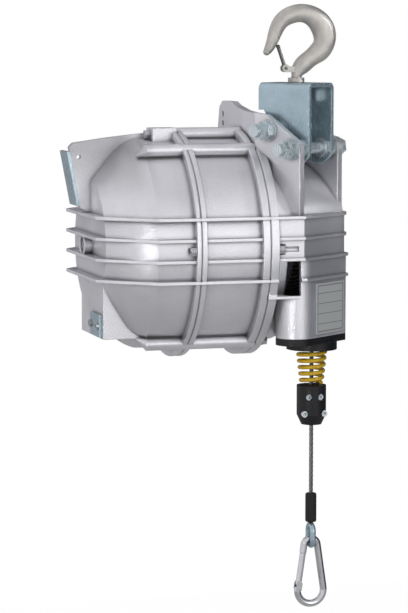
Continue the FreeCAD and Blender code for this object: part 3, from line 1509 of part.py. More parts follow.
def gate_pin():
    """Rivet through the cheeks that the gate turns on."""
    p1, p2, p3, q1, q2, q3 = carabiner_points()
    pivot = q1 + (p1 - q1) * GATE_FOOT_SHARE
    half = gate_radius() + FIT_GAP + CHEEK_THICK + FIT_GAP
    return Part.makeCylinder(GATE_PIN_R, 2 * half, pivot + V(0, -half, 0), V(0, 1, 0))


def carabiner_body():
    """Snap hook body: bent round bar, open on the left for the gate."""
    p1, p2, p3, q1, q2, q3 = carabiner_points()
    leg = p1 - q1
    upper_stop = q1 + leg * GATE_TOP_SHARE
    direction = V(leg.x, leg.y, leg.z)
    direction.normalize()
    lower_stop = q1 + leg * GATE_FOOT_SHARE - direction * (gate_radius() + GATE_CLEARANCE)
    edges = [
        Part.LineSegment(upper_stop, p1).toShape(),
        Part.Arc(p1, p2, p3).toShape(),
        Part.LineSegment(p3, q3).toShape(),
        Part.Arc(q3, q2, q1).toShape(),
        Part.LineSegment(q1, lower_stop).toShape(),
    ]
    pivot = q1 + leg * GATE_FOOT_SHARE
    cheeks = gate_cheeks(pivot, direction)
    return cut_all(fuse_all([tube_along(edges, CARABINER_WIRE_R)] + cheeks), [gate_pin()])


def carabiner_gate():
    """Sprung gate between the two open ends of the snap hook."""
    p1, p2, p3, q1, q2, q3 = carabiner_points()
    leg = p1 - q1
    direction = V(leg.x, leg.y, leg.z)
    direction.normalize()
    start = q1 + leg * GATE_FOOT_SHARE
    end = q1 + leg * GATE_TOP_SHARE - direction * GATE_CLEARANCE
    bar = Part.makeCylinder(gate_radius(), (end - start).Length, start, direction)
    foot = Part.makeSphere(gate_radius(), start)
    bore = Part.makeCylinder(GATE_PIN_R + BEARING_CLEARANCE, 4 * CARABINER_WIRE_R, start, V(0, 1, 0))
    bore.translate(V(0, -2 * CARABINER_WIRE_R, 0))
    return bar.fuse(foot).removeSplitter().cut(bore)


def rating_plate():
    """Bare metal plate on the slanted face."""
    low = PLATE_TOP - PLATE_HEIGHT
    points = [
        (PLATE_ACROSS - PLATE_LENGTH / 2, low),
        (PLATE_ACROSS + PLATE_LENGTH / 2, low),
        (PLATE_ACROSS + PLATE_LENGTH / 2, PLATE_TOP),
        (PLATE_ACROSS - PLATE_LENGTH / 2, PLATE_TOP),
    ]
    face = closed_face([turned(across, FACE_W, height) for across, height in points])
    return face.extrude(FACING * PLATE_THICK)


def stop_plate():
    """Zinc-plated guard plate on the fin's slanted edge."""
    low = V(FIN_FOOT_X, 0, FIN_ROOT_Z)
    high = V(FIN_TIP_X, 0, FIN_TIP_Z - FIN_CORNER_R)
    along = high - low
    along.normalize()
    out = V(-along.z, 0, along.x)
    start = low + along * 4
    end = high - along * 6
    points = [start, end, end + out * STOP_PLATE_THICK, start + out * STOP_PLATE_THICK]
    base_y = AXIS_Y - FIN_THICK / 2
    face = closed_face([V(p.x, base_y, AXIS_Z + p.z) for p in points])
    return face.extrude(V(0, STOP_PLATE_WIDTH, 0))


def worm_cover():
    """Lid on the worm box's left wall."""
    return end_prism(
        [
            (WORM_BOX_FRONT + 8, WORM_BOX_BOTTOM + 2),
            (WORM_BOX_FRONT + 60, WORM_BOX_BOTTOM + 2),
            (WORM_BOX_FRONT + 60, WORM_BOX_BOTTOM + 34),
            (WORM_BOX_FRONT + 8, WORM_BOX_BOTTOM + 34),
        ],
        END_X - COVER_LID_THICK,
        END_X,
    )


def worm_cover_screws():
    shapes = []
    for y_off in (14.0, 54.0):
        base = V(END_X - COVER_LID_THICK, AXIS_Y + WORM_BOX_FRONT + y_off, AXIS_Z + WORM_BOX_BOTTOM + 18)
        head = Part.makeCylinder(SCREW_HEAD_R, SCREW_HEAD_LENGTH, base, V(-1, 0, 0))
        socket = hexagon(4.0, 2.0, base + V(-SCREW_HEAD_LENGTH, 0, 0), V(1, 0, 0))
        shapes.append(head.cut(socket))
    return Part.makeCompound(shapes)


PIECES = {
    "end_cover": end_cover,
    "drum_housing": drum_housing,
    "rope_housing": rope_housing,
    "rope_guide_cover": rope_guide_cover,
    "guide_bush": guide_bush,
    "tie_bolts": tie_bolts,
    "tie_nuts": tie_nuts,
    "flange_screws": flange_screws,
    "shaft_cap": shaft_cap,
    "rating_plate": rating_plate,
    "stop_plate": stop_plate,
    "worm_cover": worm_cover,
    "worm_cover_screws": worm_cover_screws,
    "suspension_bracket": suspension_bracket,
    "bracket_bolts": bracket_bolts,
    "bracket_nuts": bracket_nuts,
    "bracket_washers": bracket_washers,
    "bracket_spacers": bracket_spacers,
    "suspension_hook": suspension_hook,
    "hook_nut": hook_nut,
    "hook_thrust_washer": hook_thrust_washer,
    "hook_split_pin": hook_split_pin,
    "latch_pin": latch_pin,
    "safety_latch": safety_latch,
    "main_shaft": main_shaft,
    "shaft_screw": shaft_screw,
    "drum_bearings": drum_bearings,
    "rope_drum": rope_drum,
    "rope_windings": rope_windings,
    "spring_cases": spring_cases,
    "mainsprings": mainsprings,
    "worm_wheel": worm_wheel,
    "worm": worm,
    "worm_bushes": worm_bushes,
    "upper_rope": upper_rope,
    "buffer_spring": buffer_spring,
    "stop_clamp_front": stop_clamp_front,
    "stop_clamp_back": stop_clamp_back,
    "clamp_screws": clamp_screws,
    "lower_rope": lower_rope,
    "rope_sleeve": rope_sleeve,
    "thimble": thimble,
    "carabiner_body": carabiner_body,
    "carabiner_gate": carabiner_gate,
    "gate_pin": gate_pin,
}


def main():
    os.makedirs("parts", exist_ok=True)
    for name, maker in PIECES.items():
        shape = maker()
        if not shape.isValid():
            print("not valid:", name)
        shape.exportStep("parts/" + name + ".step")


main()
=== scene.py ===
import math

import bmesh
import bpy
from bpy.props import FloatProperty, FloatVectorProperty, IntProperty, PointerProperty
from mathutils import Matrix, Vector


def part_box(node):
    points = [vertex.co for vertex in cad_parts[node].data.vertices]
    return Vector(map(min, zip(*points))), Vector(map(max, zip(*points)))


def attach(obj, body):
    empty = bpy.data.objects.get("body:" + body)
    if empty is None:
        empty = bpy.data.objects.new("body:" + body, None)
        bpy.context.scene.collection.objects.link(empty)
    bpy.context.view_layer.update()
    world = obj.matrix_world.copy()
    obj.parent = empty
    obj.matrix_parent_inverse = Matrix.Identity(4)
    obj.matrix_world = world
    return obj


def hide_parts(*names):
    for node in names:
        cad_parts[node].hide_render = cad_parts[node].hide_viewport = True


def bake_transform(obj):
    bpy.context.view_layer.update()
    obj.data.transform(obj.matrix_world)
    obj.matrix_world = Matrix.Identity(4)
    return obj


bl_info = {
    "name": "Hanging spring balancer",
    "version": (1, 0, 0),
    "blender": (4, 5, 0),
    "location": "3D View > Sidebar > Balancer",
    "description": "Finishes a ribbed spring balancer with its hook, rope and snap hook",
    "category": "Object",
}

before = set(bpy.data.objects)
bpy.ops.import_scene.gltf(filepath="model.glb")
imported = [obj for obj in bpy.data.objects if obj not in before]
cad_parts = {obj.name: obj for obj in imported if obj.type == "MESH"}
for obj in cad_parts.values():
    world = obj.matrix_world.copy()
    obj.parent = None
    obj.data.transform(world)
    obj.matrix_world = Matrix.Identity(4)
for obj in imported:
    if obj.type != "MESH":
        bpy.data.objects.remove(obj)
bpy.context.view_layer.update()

ROPE_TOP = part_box("lower_rope")[1]
ROPE_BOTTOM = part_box("lower_rope")[0]
ROPE_CENTRE = ((ROPE_TOP.x + ROPE_BOTTOM.x) / 2, (ROPE_TOP.y + ROPE_BOTTOM.y) / 2)


# Settings that a user would change


class BalancerFinishSettings(bpy.types.PropertyGroup):
    casting_colour: FloatVectorProperty(
        name="Casting", description="Colour of the die-cast housing",
        subtype="COLOR", size=3, min=0, max=1, default=(0.73, 0.728, 0.755))
    # The next three settings paint shade on the cover's fin, darker where its tilt turns it from the
    # light
    fin_shade: FloatProperty(
        name="Painted fin shade", description="How much darker the painted shade makes the casting on the cover's fin",
        default=0.9, min=0, max=1, subtype="FACTOR")
    fin_shade_across: FloatVectorProperty(
        name="Painted fin shade across", description="Places along X where the painted fin shade starts and is full",
        size=2, unit="LENGTH", default=(-0.205, -0.235))
    fin_shade_height: FloatVectorProperty(
        name="Painted fin shade height", description="Heights where the painted fin shade starts and is full",
        size=2, unit="LENGTH", default=(-0.245, -0.18))
    # The drum's colour is lighter than the casting's, as painted light for the little light that reaches
    # it inside the housing
    drum_painted_light_colour: FloatVectorProperty(
        name="Drum", description="Colour of the rope drum behind the window",
        subtype="COLOR", size=3, min=0, max=1, default=(0.90, 0.94, 1.0))
    casting_grain: FloatProperty(
        name="Casting grain", description="Height of the grain on the castings",
        default=0.00012, min=0, unit="LENGTH")
    casting_edge: FloatProperty(
        name="Casting edge", description="Radius that the castings' edges look rounded to",
        default=0.0016, min=0, unit="LENGTH")
    zinc_colour: FloatVectorProperty(
        name="Zinc", description="Colour of the zinc-plated bracket and plates",
        subtype="COLOR", size=3, min=0, max=1, default=(0.38, 0.49, 0.545))
    latch_colour: FloatVectorProperty(
        name="Latch", description="Colour of the hook's sprung wire latch",
        subtype="COLOR", size=3, min=0, max=1, default=(0.11, 0.11, 0.105))
    fastener_colour: FloatVectorProperty(
        name="Fasteners", description="Colour of the zinc-plated bolts, nuts and washers",
        subtype="COLOR", size=3, min=0, max=1, default=(0.56, 0.63, 0.66))
    hook_colour: FloatVectorProperty(
        name="Hook", description="Colour of the forged hook",
        subtype="COLOR", size=3, min=0, max=1, default=(0.50, 0.485, 0.455))
    machined_colour: FloatVectorProperty(
        name="Machined steel", description="Colour of turned and rolled steel",
        subtype="COLOR", size=3, min=0, max=1, default=(0.55, 0.56, 0.57))
    plate_colour: FloatVectorProperty(
        name="Plate", description="Colour of the bare plate",
        subtype="COLOR", size=3, min=0, max=1, default=(0.53, 0.55, 0.54))
    plate_rows: FloatVectorProperty(
        name="Plate rows", description="Heights of the ruled lines, as shares of the plate's height",
        size=4, min=0, max=1, default=(0.80, 0.60, 0.40, 0.20))
    plastic_colour: FloatVectorProperty(
        name="Plastic", description="Colour of the moulded guide and clamp",
        subtype="COLOR", size=3, min=0, max=1, default=(0.004, 0.004, 0.005))
    rubber_colour: FloatVectorProperty(
        name="Rubber", description="Colour of the sleeve over the rope's end",
        subtype="COLOR", size=3, min=0, max=1, default=(0.008, 0.008, 0.009))
    coil_colour: FloatVectorProperty(
        name="Coil", description="Colour of the coating on the buffer spring",
        subtype="COLOR", size=3, min=0, max=1, default=(0.66, 0.42, 0.006))
    bronze_colour: FloatVectorProperty(
        name="Bronze", description="Colour of the bushes and the worm wheel",
        subtype="COLOR", size=3, min=0, max=1, default=(0.55, 0.34, 0.13))


class BalancerRopeSettings(bpy.types.PropertyGroup):
    diameter: FloatProperty(
        name="Diameter", description="Diameter of the wire rope",
        default=0.006, min=0.001, unit="LENGTH")
    lay: FloatProperty(
        name="Lay", description="Length in which a strand goes once round the rope",
        default=0.040, min=0.005, unit="LENGTH")
    strands: IntProperty(
        name="Strands", description="Number of outer strands", default=6, min=3)
    colour: FloatVectorProperty(
        name="Rope", description="Colour of the greased galvanised rope",
        subtype="COLOR", size=3, min=0, max=1, default=(0.24, 0.24, 0.24))


class BalancerStageSettings(bpy.types.PropertyGroup):
    floor_height: FloatProperty(
        name="Floor", description="Height of the floor, under the load at its full travel",
        default=-2.95, unit="LENGTH")
    lens: FloatProperty(
        name="Lens", description="Focal length on a sensor 24 mm high",
        default=97.88, min=1)
    turn: FloatProperty(
        name="Turn", description="Angle of the camera round the balancer",
        subtype="ANGLE", default=math.radians(16.5))
    tilt: FloatProperty(
        name="Tilt", description="Angle that the camera looks down by",
        subtype="ANGLE", default=math.radians(6.3))
    eye: FloatVectorProperty(
        name="Eye", description="Place of the camera",
        subtype="TRANSLATION", size=3, unit="LENGTH", default=(-1.1245, -3.3407, -0.0115))
    bright_side: FloatVectorProperty(
        name="Bright side", description="Direction of the brightest part of the studio",
        subtype="DIRECTION", size=3, default=(-0.86, -0.46, 0.22))
    key_power: FloatProperty(
        name="Key light", description="Power of the long low light at the front left",
        default=0.3, min=0)
    key_spread: FloatProperty(
        name="Key spread", description="Angle that the front left light spreads over",
        subtype="ANGLE", default=math.radians(24))
    fill_power: FloatProperty(
        name="Fill light", description="Power of the soft light in front",
        default=13.0, min=0)
    top_power: FloatProperty(
        name="Top light", description="Power of the soft light overhead",
        default=2.0, min=0)
    side_power: FloatProperty(
        name="Side light", description="Power of the small soft light at the right",
        default=0.22, min=0)


# Building blocks for node trees

# Places of a colour Mix node's sockets, because their names repeat
MIX_FACTOR, MIX_FIRST, MIX_SECOND, MIX_RESULT = 0, 6, 7, 2

# Where a mask starts and where it is full: the shaded normal's likeness to the true one for the edges
# that get a painted highlight, and how open the surface is for the hollows, and the creases within a
# share of the same reach, that get painted shade
EDGE_RANGE = (0.985, 0.80)
HOLLOW_RANGE = (0.95, 0.25)
CREASE_RANGE = (0.90, 0.40)
CREASE_REACH = 0.22


def add(tree, kind, **values):
    """A node with some of its own settings."""
    node = tree.nodes.new(kind)
    for name, value in values.items():
        setattr(node, name, value)
    return node


def maths(tree, operation, first, second=None, clamp=False):
    """A Math node fed by sockets or plain numbers."""
    node = add(tree, "ShaderNodeMath", operation=operation, use_clamp=clamp)
    for socket, value in zip(node.inputs, (first, second)):
        if isinstance(value, (int, float)):
            socket.default_value = value
        elif value is not None:
            tree.links.new(value, socket)
    return node.outputs[0]


def mix_colour(tree, factor, first, second):
    """A colour Mix node fed by sockets, numbers or colours."""
    node = add(tree, "ShaderNodeMix", data_type="RGBA")
    for place, value in ((MIX_FACTOR, factor), (MIX_FIRST, first), (MIX_SECOND, second)):
        socket = node.inputs[place]
        if isinstance(value, (int, float)):
            socket.default_value = value
        elif isinstance(value, tuple):
            socket.default_value = (*value[:3], 1)
        else:
            tree.links.new(value, socket)
    return node.outputs[MIX_RESULT]


def shaded(tree, mask, base, dark, light):
    """A colour that a mask takes from a darker to a lighter tint."""
    return mix_colour(tree, mask, tint(base, dark), tint(base, light))


def laid_on(tree, colour, mask, share, over):
    """A colour with a share of another laid over it where the mask is."""
    return mix_colour(tree, maths(tree, "MULTIPLY", mask, share), colour, over)


def spread(tree, value, low, high, out_low=0.0, out_high=1.0):
    """A value stretched from one range to another, and held inside it."""
    node = add(tree, "ShaderNodeMapRange")
    tree.links.new(value, node.inputs[0])
    for place, number in enumerate((low, high, out_low, out_high)):
        node.inputs[place + 1].default_value = number
    return node.outputs[0]


def new_group(name, inputs, outputs):
    """An empty shader node group with named sockets."""
    group = bpy.data.node_groups.new(name, "ShaderNodeTree")
    for label, kind, value in inputs:
        socket = group.interface.new_socket(label, in_out="INPUT", socket_type=kind)
        socket.default_value = value
    for label, kind in outputs:
        group.interface.new_socket(label, in_out="OUTPUT", socket_type=kind)
    start = add(group, "NodeGroupInput")
    end = add(group, "NodeGroupOutput")
    return group, start, end


def edge_highlight_and_hollow_shade_group():
    """Rounds edges in the shading, and masks edges for a painted highlight, and hollows and the creases
    deep in them for painted shade.
    """
    group, start, end = new_group(
        "edge_highlight_and_hollow_shade",
        [("Radius", "NodeSocketFloat", 0.0015), ("Reach", "NodeSocketFloat", 0.02)],
        [("Normal", "NodeSocketVector"), ("EdgeHighlight", "NodeSocketFloat"),
         ("HollowShade", "NodeSocketFloat"), ("CreaseShade", "NodeSocketFloat")])
    # The bevel's rounded normal finds the edges that the finishes lighten as a painted highlight
    rounded = add(group, "ShaderNodeBevel", samples=6)
    group.links.new(start.outputs["Radius"], rounded.inputs["Radius"])
    flat = add(group, "ShaderNodeNewGeometry")
    likeness = add(group, "ShaderNodeVectorMath", operation="DOT_PRODUCT")
    group.links.new(rounded.outputs[0], likeness.inputs[0])
    group.links.new(flat.outputs["Normal"], likeness.inputs[1])
    edge = spread(group, likeness.outputs["Value"], *EDGE_RANGE)
    # Ambient occlusion finds the hollows, and at a shorter reach the creases, that the finishes darken
    # as painted shade
    shade = add(group, "ShaderNodeAmbientOcclusion", samples=6)
    group.links.new(start.outputs["Reach"], shade.inputs["Distance"])
    hollow = spread(group, shade.outputs["AO"], *HOLLOW_RANGE)
    outside = maths(group, "SUBTRACT", 1.0, hollow, True)
    near = add(group, "ShaderNodeAmbientOcclusion", samples=6)
    reach = maths(group, "MULTIPLY", start.outputs["Reach"], CREASE_REACH)
    group.links.new(reach, near.inputs["Distance"])
    crease = spread(group, near.outputs["AO"], *CREASE_RANGE)
    group.links.new(rounded.outputs[0], end.inputs["Normal"])
    group.links.new(maths(group, "MULTIPLY", edge, outside), end.inputs["EdgeHighlight"])
    group.links.new(hollow, end.inputs["HollowShade"])
    group.links.new(crease, end.inputs["CreaseShade"])
    return group


def surface_grain_group():
    """Fine grain over wide soft blotches, in metres on the object."""
    group, start, end = new_group(
        "surface_grain",
        [("Fine", "NodeSocketFloat", 900.0), ("Wide", "NodeSocketFloat", 14.0)],
        [("Grain", "NodeSocketFloat"), ("Blotch", "NodeSocketFloat"), ("Speck", "NodeSocketFloat")])
    place = add(group, "ShaderNodeTexCoord").outputs["Object"]
    fine = add(group, "ShaderNodeTexNoise")
    fine.inputs["Detail"].default_value = 4
    wide = add(group, "ShaderNodeTexNoise")
    wide.inputs["Detail"].default_value = 5
    group.links.new(place, fine.inputs["Vector"])
    group.links.new(place, wide.inputs["Vector"])
    group.links.new(start.outputs["Fine"], fine.inputs["Scale"])
    group.links.new(start.outputs["Wide"], wide.inputs["Scale"])
    specks = add(group, "ShaderNodeTexVoronoi")
    group.links.new(place, specks.inputs["Vector"])
    group.links.new(start.outputs["Fine"], specks.inputs["Scale"])
    group.links.new(fine.outputs[0], end.inputs["Grain"])
    group.links.new(spread(group, wide.outputs[0], 0.32, 0.68), end.inputs["Blotch"])
    group.links.new(spread(group, specks.outputs["Distance"], 0.35, 0.05), end.inputs["Speck"])
    return group


def drawn_lines_group():
    """Fine lines along one direction, as rolling or turning leaves them."""
    group, start, end = new_group(
        "drawn_lines",
        [("Stretch", "NodeSocketVector", (1, 1, 1)), ("Scale", "NodeSocketFloat", 900.0)],
        [("Lines", "NodeSocketFloat")])
    place = add(group, "ShaderNodeTexCoord").outputs["Object"]
    pulled = add(group, "ShaderNodeVectorMath", operation="MULTIPLY")
    group.links.new(place, pulled.inputs[0])
    group.links.new(start.outputs["Stretch"], pulled.inputs[1])
    lines = add(group, "ShaderNodeTexNoise")
    lines.inputs["Detail"].default_value = 2
    group.links.new(pulled.outputs[0], lines.inputs["Vector"])
    group.links.new(start.outputs["Scale"], lines.inputs["Scale"])
    group.links.new(lines.outputs[0], end.inputs["Lines"])
    return group


def strand_twist_group():
    """Height of wires that wind round an upright rope, and a mask for painted shade in the grooves
    between them.
    """
    group, start, end = new_group(
        "strand_twist",
        [("Centre", "NodeSocketVector", (0, 0, 0)), ("Lay", "NodeSocketFloat", 0.04),
         ("Strands", "NodeSocketFloat", 6.0)],
        [("Height", "NodeSocketFloat"), ("GrooveShade", "NodeSocketFloat")])
    place = add(group, "ShaderNodeTexCoord").outputs["Object"]
    away = add(group, "ShaderNodeVectorMath", operation="SUBTRACT")
    group.links.new(place, away.inputs[0])
    group.links.new(start.outputs["Centre"], away.inputs[1])
    parts = add(group, "ShaderNodeSeparateXYZ")
    group.links.new(away.outputs[0], parts.inputs[0])
    angle = maths(group, "ARCTAN2", parts.outputs["Y"], parts.outputs["X"])
    turns = maths(group, "DIVIDE", parts.outputs["Z"], start.outputs["Lay"])
    wound = maths(group, "ADD", angle, maths(group, "MULTIPLY", turns, math.tau))
    wave = maths(group, "SINE", maths(group, "MULTIPLY", wound, start.outputs["Strands"]))
    group.links.new(spread(group, wave, -1, 1), end.inputs["Height"])
    group.links.new(spread(group, wave, -0.4, -1.0), end.inputs["GrooveShade"])
    return group


def place_group(tree, name, **values):
    """A group placed in a material with its own values."""
    node = add(tree, "ShaderNodeGroup", node_tree=bpy.data.node_groups[name])
    for label, value in values.items():
        node.inputs[label].default_value = value
    return node


def bump(tree, height, metres, normal=None):
    """A Bump node, its height given in metres."""
    node = add(tree, "ShaderNodeBump")
    node.inputs["Distance"].default_value = metres
    tree.links.new(height, node.inputs["Height"])
    if normal is not None:
        tree.links.new(normal, node.inputs["Normal"])
    return node.outputs[0]


def new_material(name):
    """A material with only its Principled shader, under a name that the frame does not use."""
    if name in bpy.data.materials:
        raise RuntimeError("the frame already has a material called " + name)
    material = bpy.data.materials.new(name)
    material.use_nodes = True
    return material, material.node_tree


def wire(material, colour, rough, normal, **fixed):
    """Links a finish to its shader, and sets the sockets that hold one number."""
    tree = material.node_tree
    shader = tree.nodes["Principled BSDF"]
    for name, output in (("Base Color", colour), ("Roughness", rough), ("Normal", normal)):
        tree.links.new(output, shader.inputs[name])
    for name, value in fixed.items():
        shader.inputs[name.replace("_", " ")].default_value = value
    return material


def tint(colour, share):
    """A colour made lighter or darker."""
    return tuple(min(1.0, channel * share) for channel in colour)


# Finishes


# A grain's noise keeps to about the middle quarter of its range, so its bump is this much higher
GRAIN_SWING = 4


def casting_finish(name, settings, colour, reach):
    """Bare die-cast aluminium, with painted shade in hollows within reach and darker in the creases
    under the ribs, a painted highlight along edges, and painted shade on the fin.
    """
    material, tree = new_material(name)
    painted_light = place_group(tree, "edge_highlight_and_hollow_shade", Radius=settings.casting_edge, Reach=reach)
    grain = place_group(tree, "surface_grain", Fine=520.0, Wide=11.0)
    base = tuple(colour)
    colour = shaded(tree, grain.outputs["Blotch"], base, 0.90, 1.10)
    coarse = spread(tree, grain.outputs["Grain"], 0.3, 0.7, 0, 0.35)
    colour = mix_colour(tree, coarse, colour, tint(base, 0.80))
    # Painted shade in hollows and darker painted shade in the creases, then a painted highlight along
    # the edges
    colour = laid_on(tree, colour, painted_light.outputs["HollowShade"], 0.30, tint(base, 0.45))
    colour = laid_on(tree, colour, painted_light.outputs["CreaseShade"], 0.80, tint(base, 0.14))
    colour = laid_on(tree, colour, painted_light.outputs["EdgeHighlight"], 0.5, tint(base, 1.4))
    # Painted shade on the cover's fin, laid on by place in the object
    place = add(tree, "ShaderNodeSeparateXYZ")
    tree.links.new(add(tree, "ShaderNodeTexCoord").outputs["Object"], place.inputs[0])
    fin_shade_mask = maths(tree, "MULTIPLY", spread(tree, place.outputs["X"], *settings.fin_shade_across),
                 spread(tree, place.outputs["Z"], *settings.fin_shade_height))
    colour = laid_on(tree, colour, fin_shade_mask, settings.fin_shade, tint(base, 0.5))
    rough = spread(tree, grain.outputs["Blotch"], 0, 1, 0.31, 0.42)
    rough = maths(tree, "SUBTRACT", rough, maths(tree, "MULTIPLY", painted_light.outputs["EdgeHighlight"], 0.10))
    rise = settings.casting_grain * GRAIN_SWING
    height = bump(tree, grain.outputs["Grain"], rise, painted_light.outputs["Normal"])
    return wire(material, colour, rough, height, Metallic=0.75)


def die_cast_grey(settings):
    """The housing's castings."""
    return casting_finish("die_cast_grey", settings, settings.casting_colour, reach=0.03)


def drum_grey(settings):
    """The rope drum, in a lighter colour as painted light, with a short reach because all of it lies in
    the housing.
    """
    return casting_finish("drum_grey", settings, settings.drum_painted_light_colour, reach=0.001)


def zinc_finish(name, colour):
    """Bright zinc plating, with the lines of the rolled plate or bar, painted shade in hollows and a
    painted highlight along edges.
    """
    material, tree = new_material(name)
    painted_light = place_group(tree, "edge_highlight_and_hollow_shade", Radius=0.0008, Reach=0.012)
    grain = place_group(tree, "surface_grain", Fine=260.0, Wide=38.0)
    lines = place_group(tree, "drawn_lines", Stretch=(1.0, 1.0, 0.06), Scale=1400.0)
    base = tuple(colour)
    colour = shaded(tree, grain.outputs["Blotch"], base, 0.92, 1.10)
    # Painted shade in hollows and a painted highlight along edges
    colour = laid_on(tree, colour, painted_light.outputs["HollowShade"], 0.6, tint(base, 0.45))
    colour = laid_on(tree, colour, painted_light.outputs["EdgeHighlight"], 0.9, tint(base, 1.75))
    rough = spread(tree, lines.outputs["Lines"], 0.25, 0.75, 0.24, 0.29)
    height = bump(tree, lines.outputs["Lines"], 0.000008, painted_light.outputs["Normal"])
    return wire(material, colour, rough, height, Metallic=0.72)


def zinc_plate(settings):
    """Bracket, covers and the rope's eye."""
    return zinc_finish("zinc_plate", settings.zinc_colour)


def zinc_fastener(settings):
    """Bolts, nuts, washers and screws that catch more light."""
    return zinc_finish("zinc_fastener", settings.fastener_colour)


def latch_wire(settings):
    """The hook's latch, in darker wire."""
    return zinc_finish("latch_wire", settings.latch_colour)


def forged_hook(settings):
    """Forged steel with scale and small pits."""
    material, tree = new_material("forged_hook")
    painted_light = place_group(tree, "edge_highlight_and_hollow_shade", Radius=0.001, Reach=0.012)
    grain = place_group(tree, "surface_grain", Fine=700.0, Wide=60.0)
    base = tuple(settings.hook_colour)
    colour = shaded(tree, grain.outputs["Blotch"], base, 0.84, 1.10)
    colour = laid_on(tree, colour, grain.outputs["Speck"], 0.30, tint(base, 0.60))
    # Painted shade in the hook's hollows
    colour = laid_on(tree, colour, painted_light.outputs["HollowShade"], 0.55, tint(base, 0.45))
    rough = spread(tree, grain.outputs["Blotch"], 0, 1, 0.40, 0.54)
    height = bump(tree, grain.outputs["Grain"], 0.00035, painted_light.outputs["Normal"])
    return wire(material, colour, rough, height, Metallic=0.88)


def turned_steel(settings):
    """Steel with the fine lines of turning."""
    material, tree = new_material("turned_steel")
    painted_light = place_group(tree, "edge_highlight_and_hollow_shade", Radius=0.0005, Reach=0.008)
    lines = place_group(tree, "drawn_lines", Stretch=(1.0, 0.08, 0.08), Scale=2200.0)
    base = tuple(settings.machined_colour)
    colour = shaded(tree, spread(tree, lines.outputs["Lines"], 0.3, 0.7), base, 0.86, 1.10)
    # Painted shade in hollows and a painted highlight along edges
    colour = laid_on(tree, colour, painted_light.outputs["HollowShade"], 0.6, tint(base, 0.40))
    colour = laid_on(tree, colour, painted_light.outputs["EdgeHighlight"], 0.6, tint(base, 1.4))
    rough = spread(tree, lines.outputs["Lines"], 0.25, 0.75, 0.22, 0.36)
    height = bump(tree, lines.outputs["Lines"], 0.00003, painted_light.outputs["Normal"])
    return wire(material, colour, rough, height, Metallic=1.0)


# All as shares of the plate: the frame's distance from the border, half the widths at which a line
# of the frame and of a row starts and is full, and where the rows end at the frame
FRAME_INSET = 0.05
FRAME_EDGES = (0.014, 0.006)
ROW_EDGES = (0.010, 0.004)
ROW_ENDS = (0.045, 0.05)


def ruled_lines(tree, rows):
    """A thin frame and rows of ruled lines, from the piece's own box; no words."""
    place = add(tree, "ShaderNodeSeparateXYZ")
    tree.links.new(add(tree, "ShaderNodeTexCoord").outputs["Generated"], place.inputs[0])
    margins = []
    for side in ("X", "Z"):
        off = maths(tree, "ABSOLUTE", maths(tree, "SUBTRACT", place.outputs[side], 0.5))
        margins.append(maths(tree, "SUBTRACT", 0.5, off))
    inset = maths(tree, "MINIMUM", *margins)
    off = maths(tree, "ABSOLUTE", maths(tree, "SUBTRACT", inset, FRAME_INSET))
    lines = spread(tree, off, *FRAME_EDGES)
    inside = spread(tree, inset, *ROW_ENDS)
    for row in rows:
        off = maths(tree, "ABSOLUTE", maths(tree, "SUBTRACT", place.outputs["Z"], row))
        line = maths(tree, "MULTIPLY", spread(tree, off, *ROW_EDGES), inside)
        lines = maths(tree, "MAXIMUM", lines, line)
    return lines


def bare_plate(settings):
    """Brushed plate with a frame and ruled lines in place of words."""
    material, tree = new_material("bare_plate")
    painted_light = place_group(tree, "edge_highlight_and_hollow_shade", Radius=0.0004, Reach=0.004)
    lines = place_group(tree, "drawn_lines", Stretch=(0.04, 1.0, 1.0), Scale=2600.0)
    base = tuple(settings.plate_colour)
    colour = shaded(tree, spread(tree, lines.outputs["Lines"], 0.3, 0.7), base, 0.93, 1.06)
    # Painted highlight along the plate's edges
    colour = laid_on(tree, colour, painted_light.outputs["EdgeHighlight"], 0.6, tint(base, 1.3))
    ruled = ruled_lines(tree, settings.plate_rows)
    colour = laid_on(tree, colour, ruled, 0.8, tint(base, 0.25))
    rough = spread(tree, lines.outputs["Lines"], 0.25, 0.75, 0.34, 0.46)
    height = bump(tree, lines.outputs["Lines"], 0.00002, painted_light.outputs["Normal"])
    return wire(material, colour, rough, height, Metallic=0.2)


def moulded_black(settings):
    """Black plastic with a faint moulded grain."""
    material, tree = new_material("moulded_black")
    painted_light = place_group(tree, "edge_highlight_and_hollow_shade", Radius=0.0009, Reach=0.01)
    grain = place_group(tree, "surface_grain", Fine=1500.0, Wide=40.0)
    base = tuple(settings.plastic_colour)
    colour = shaded(tree, grain.outputs["Blotch"], base, 1.0, 2.0)
    # Painted highlight along the plastic's edges
    colour = laid_on(tree, colour, painted_light.outputs["EdgeHighlight"], 0.6, tint(base, 4.0))
    rough = spread(tree, grain.outputs["Blotch"], 0, 1, 0.34, 0.50)
    height = bump(tree, grain.outputs["Grain"], 0.00010, painted_light.outputs["Normal"])
    return wire(material, colour, rough, height, Specular_IOR_Level=0.35)


def sleeve_rubber(settings):
    """Dull black rubber with specks of dust."""
    material, tree = new_material("sleeve_rubber")
    painted_light = place_group(tree, "edge_highlight_and_hollow_shade", Radius=0.0012, Reach=0.01)
    grain = place_group(tree, "surface_grain", Fine=1100.0, Wide=70.0)
    base = tuple(settings.rubber_colour)
    colour = shaded(tree, grain.outputs["Blotch"], base, 1.0, 1.9)
    colour = laid_on(tree, colour, grain.outputs["Speck"], 0.2, tint(base, 4.0))
    rough = spread(tree, grain.outputs["Blotch"], 0, 1, 0.52, 0.70)
    height = bump(tree, grain.outputs["Grain"], 0.00018, painted_light.outputs["Normal"])
    return wire(material, colour, rough, height, Specular_IOR_Level=0.35)


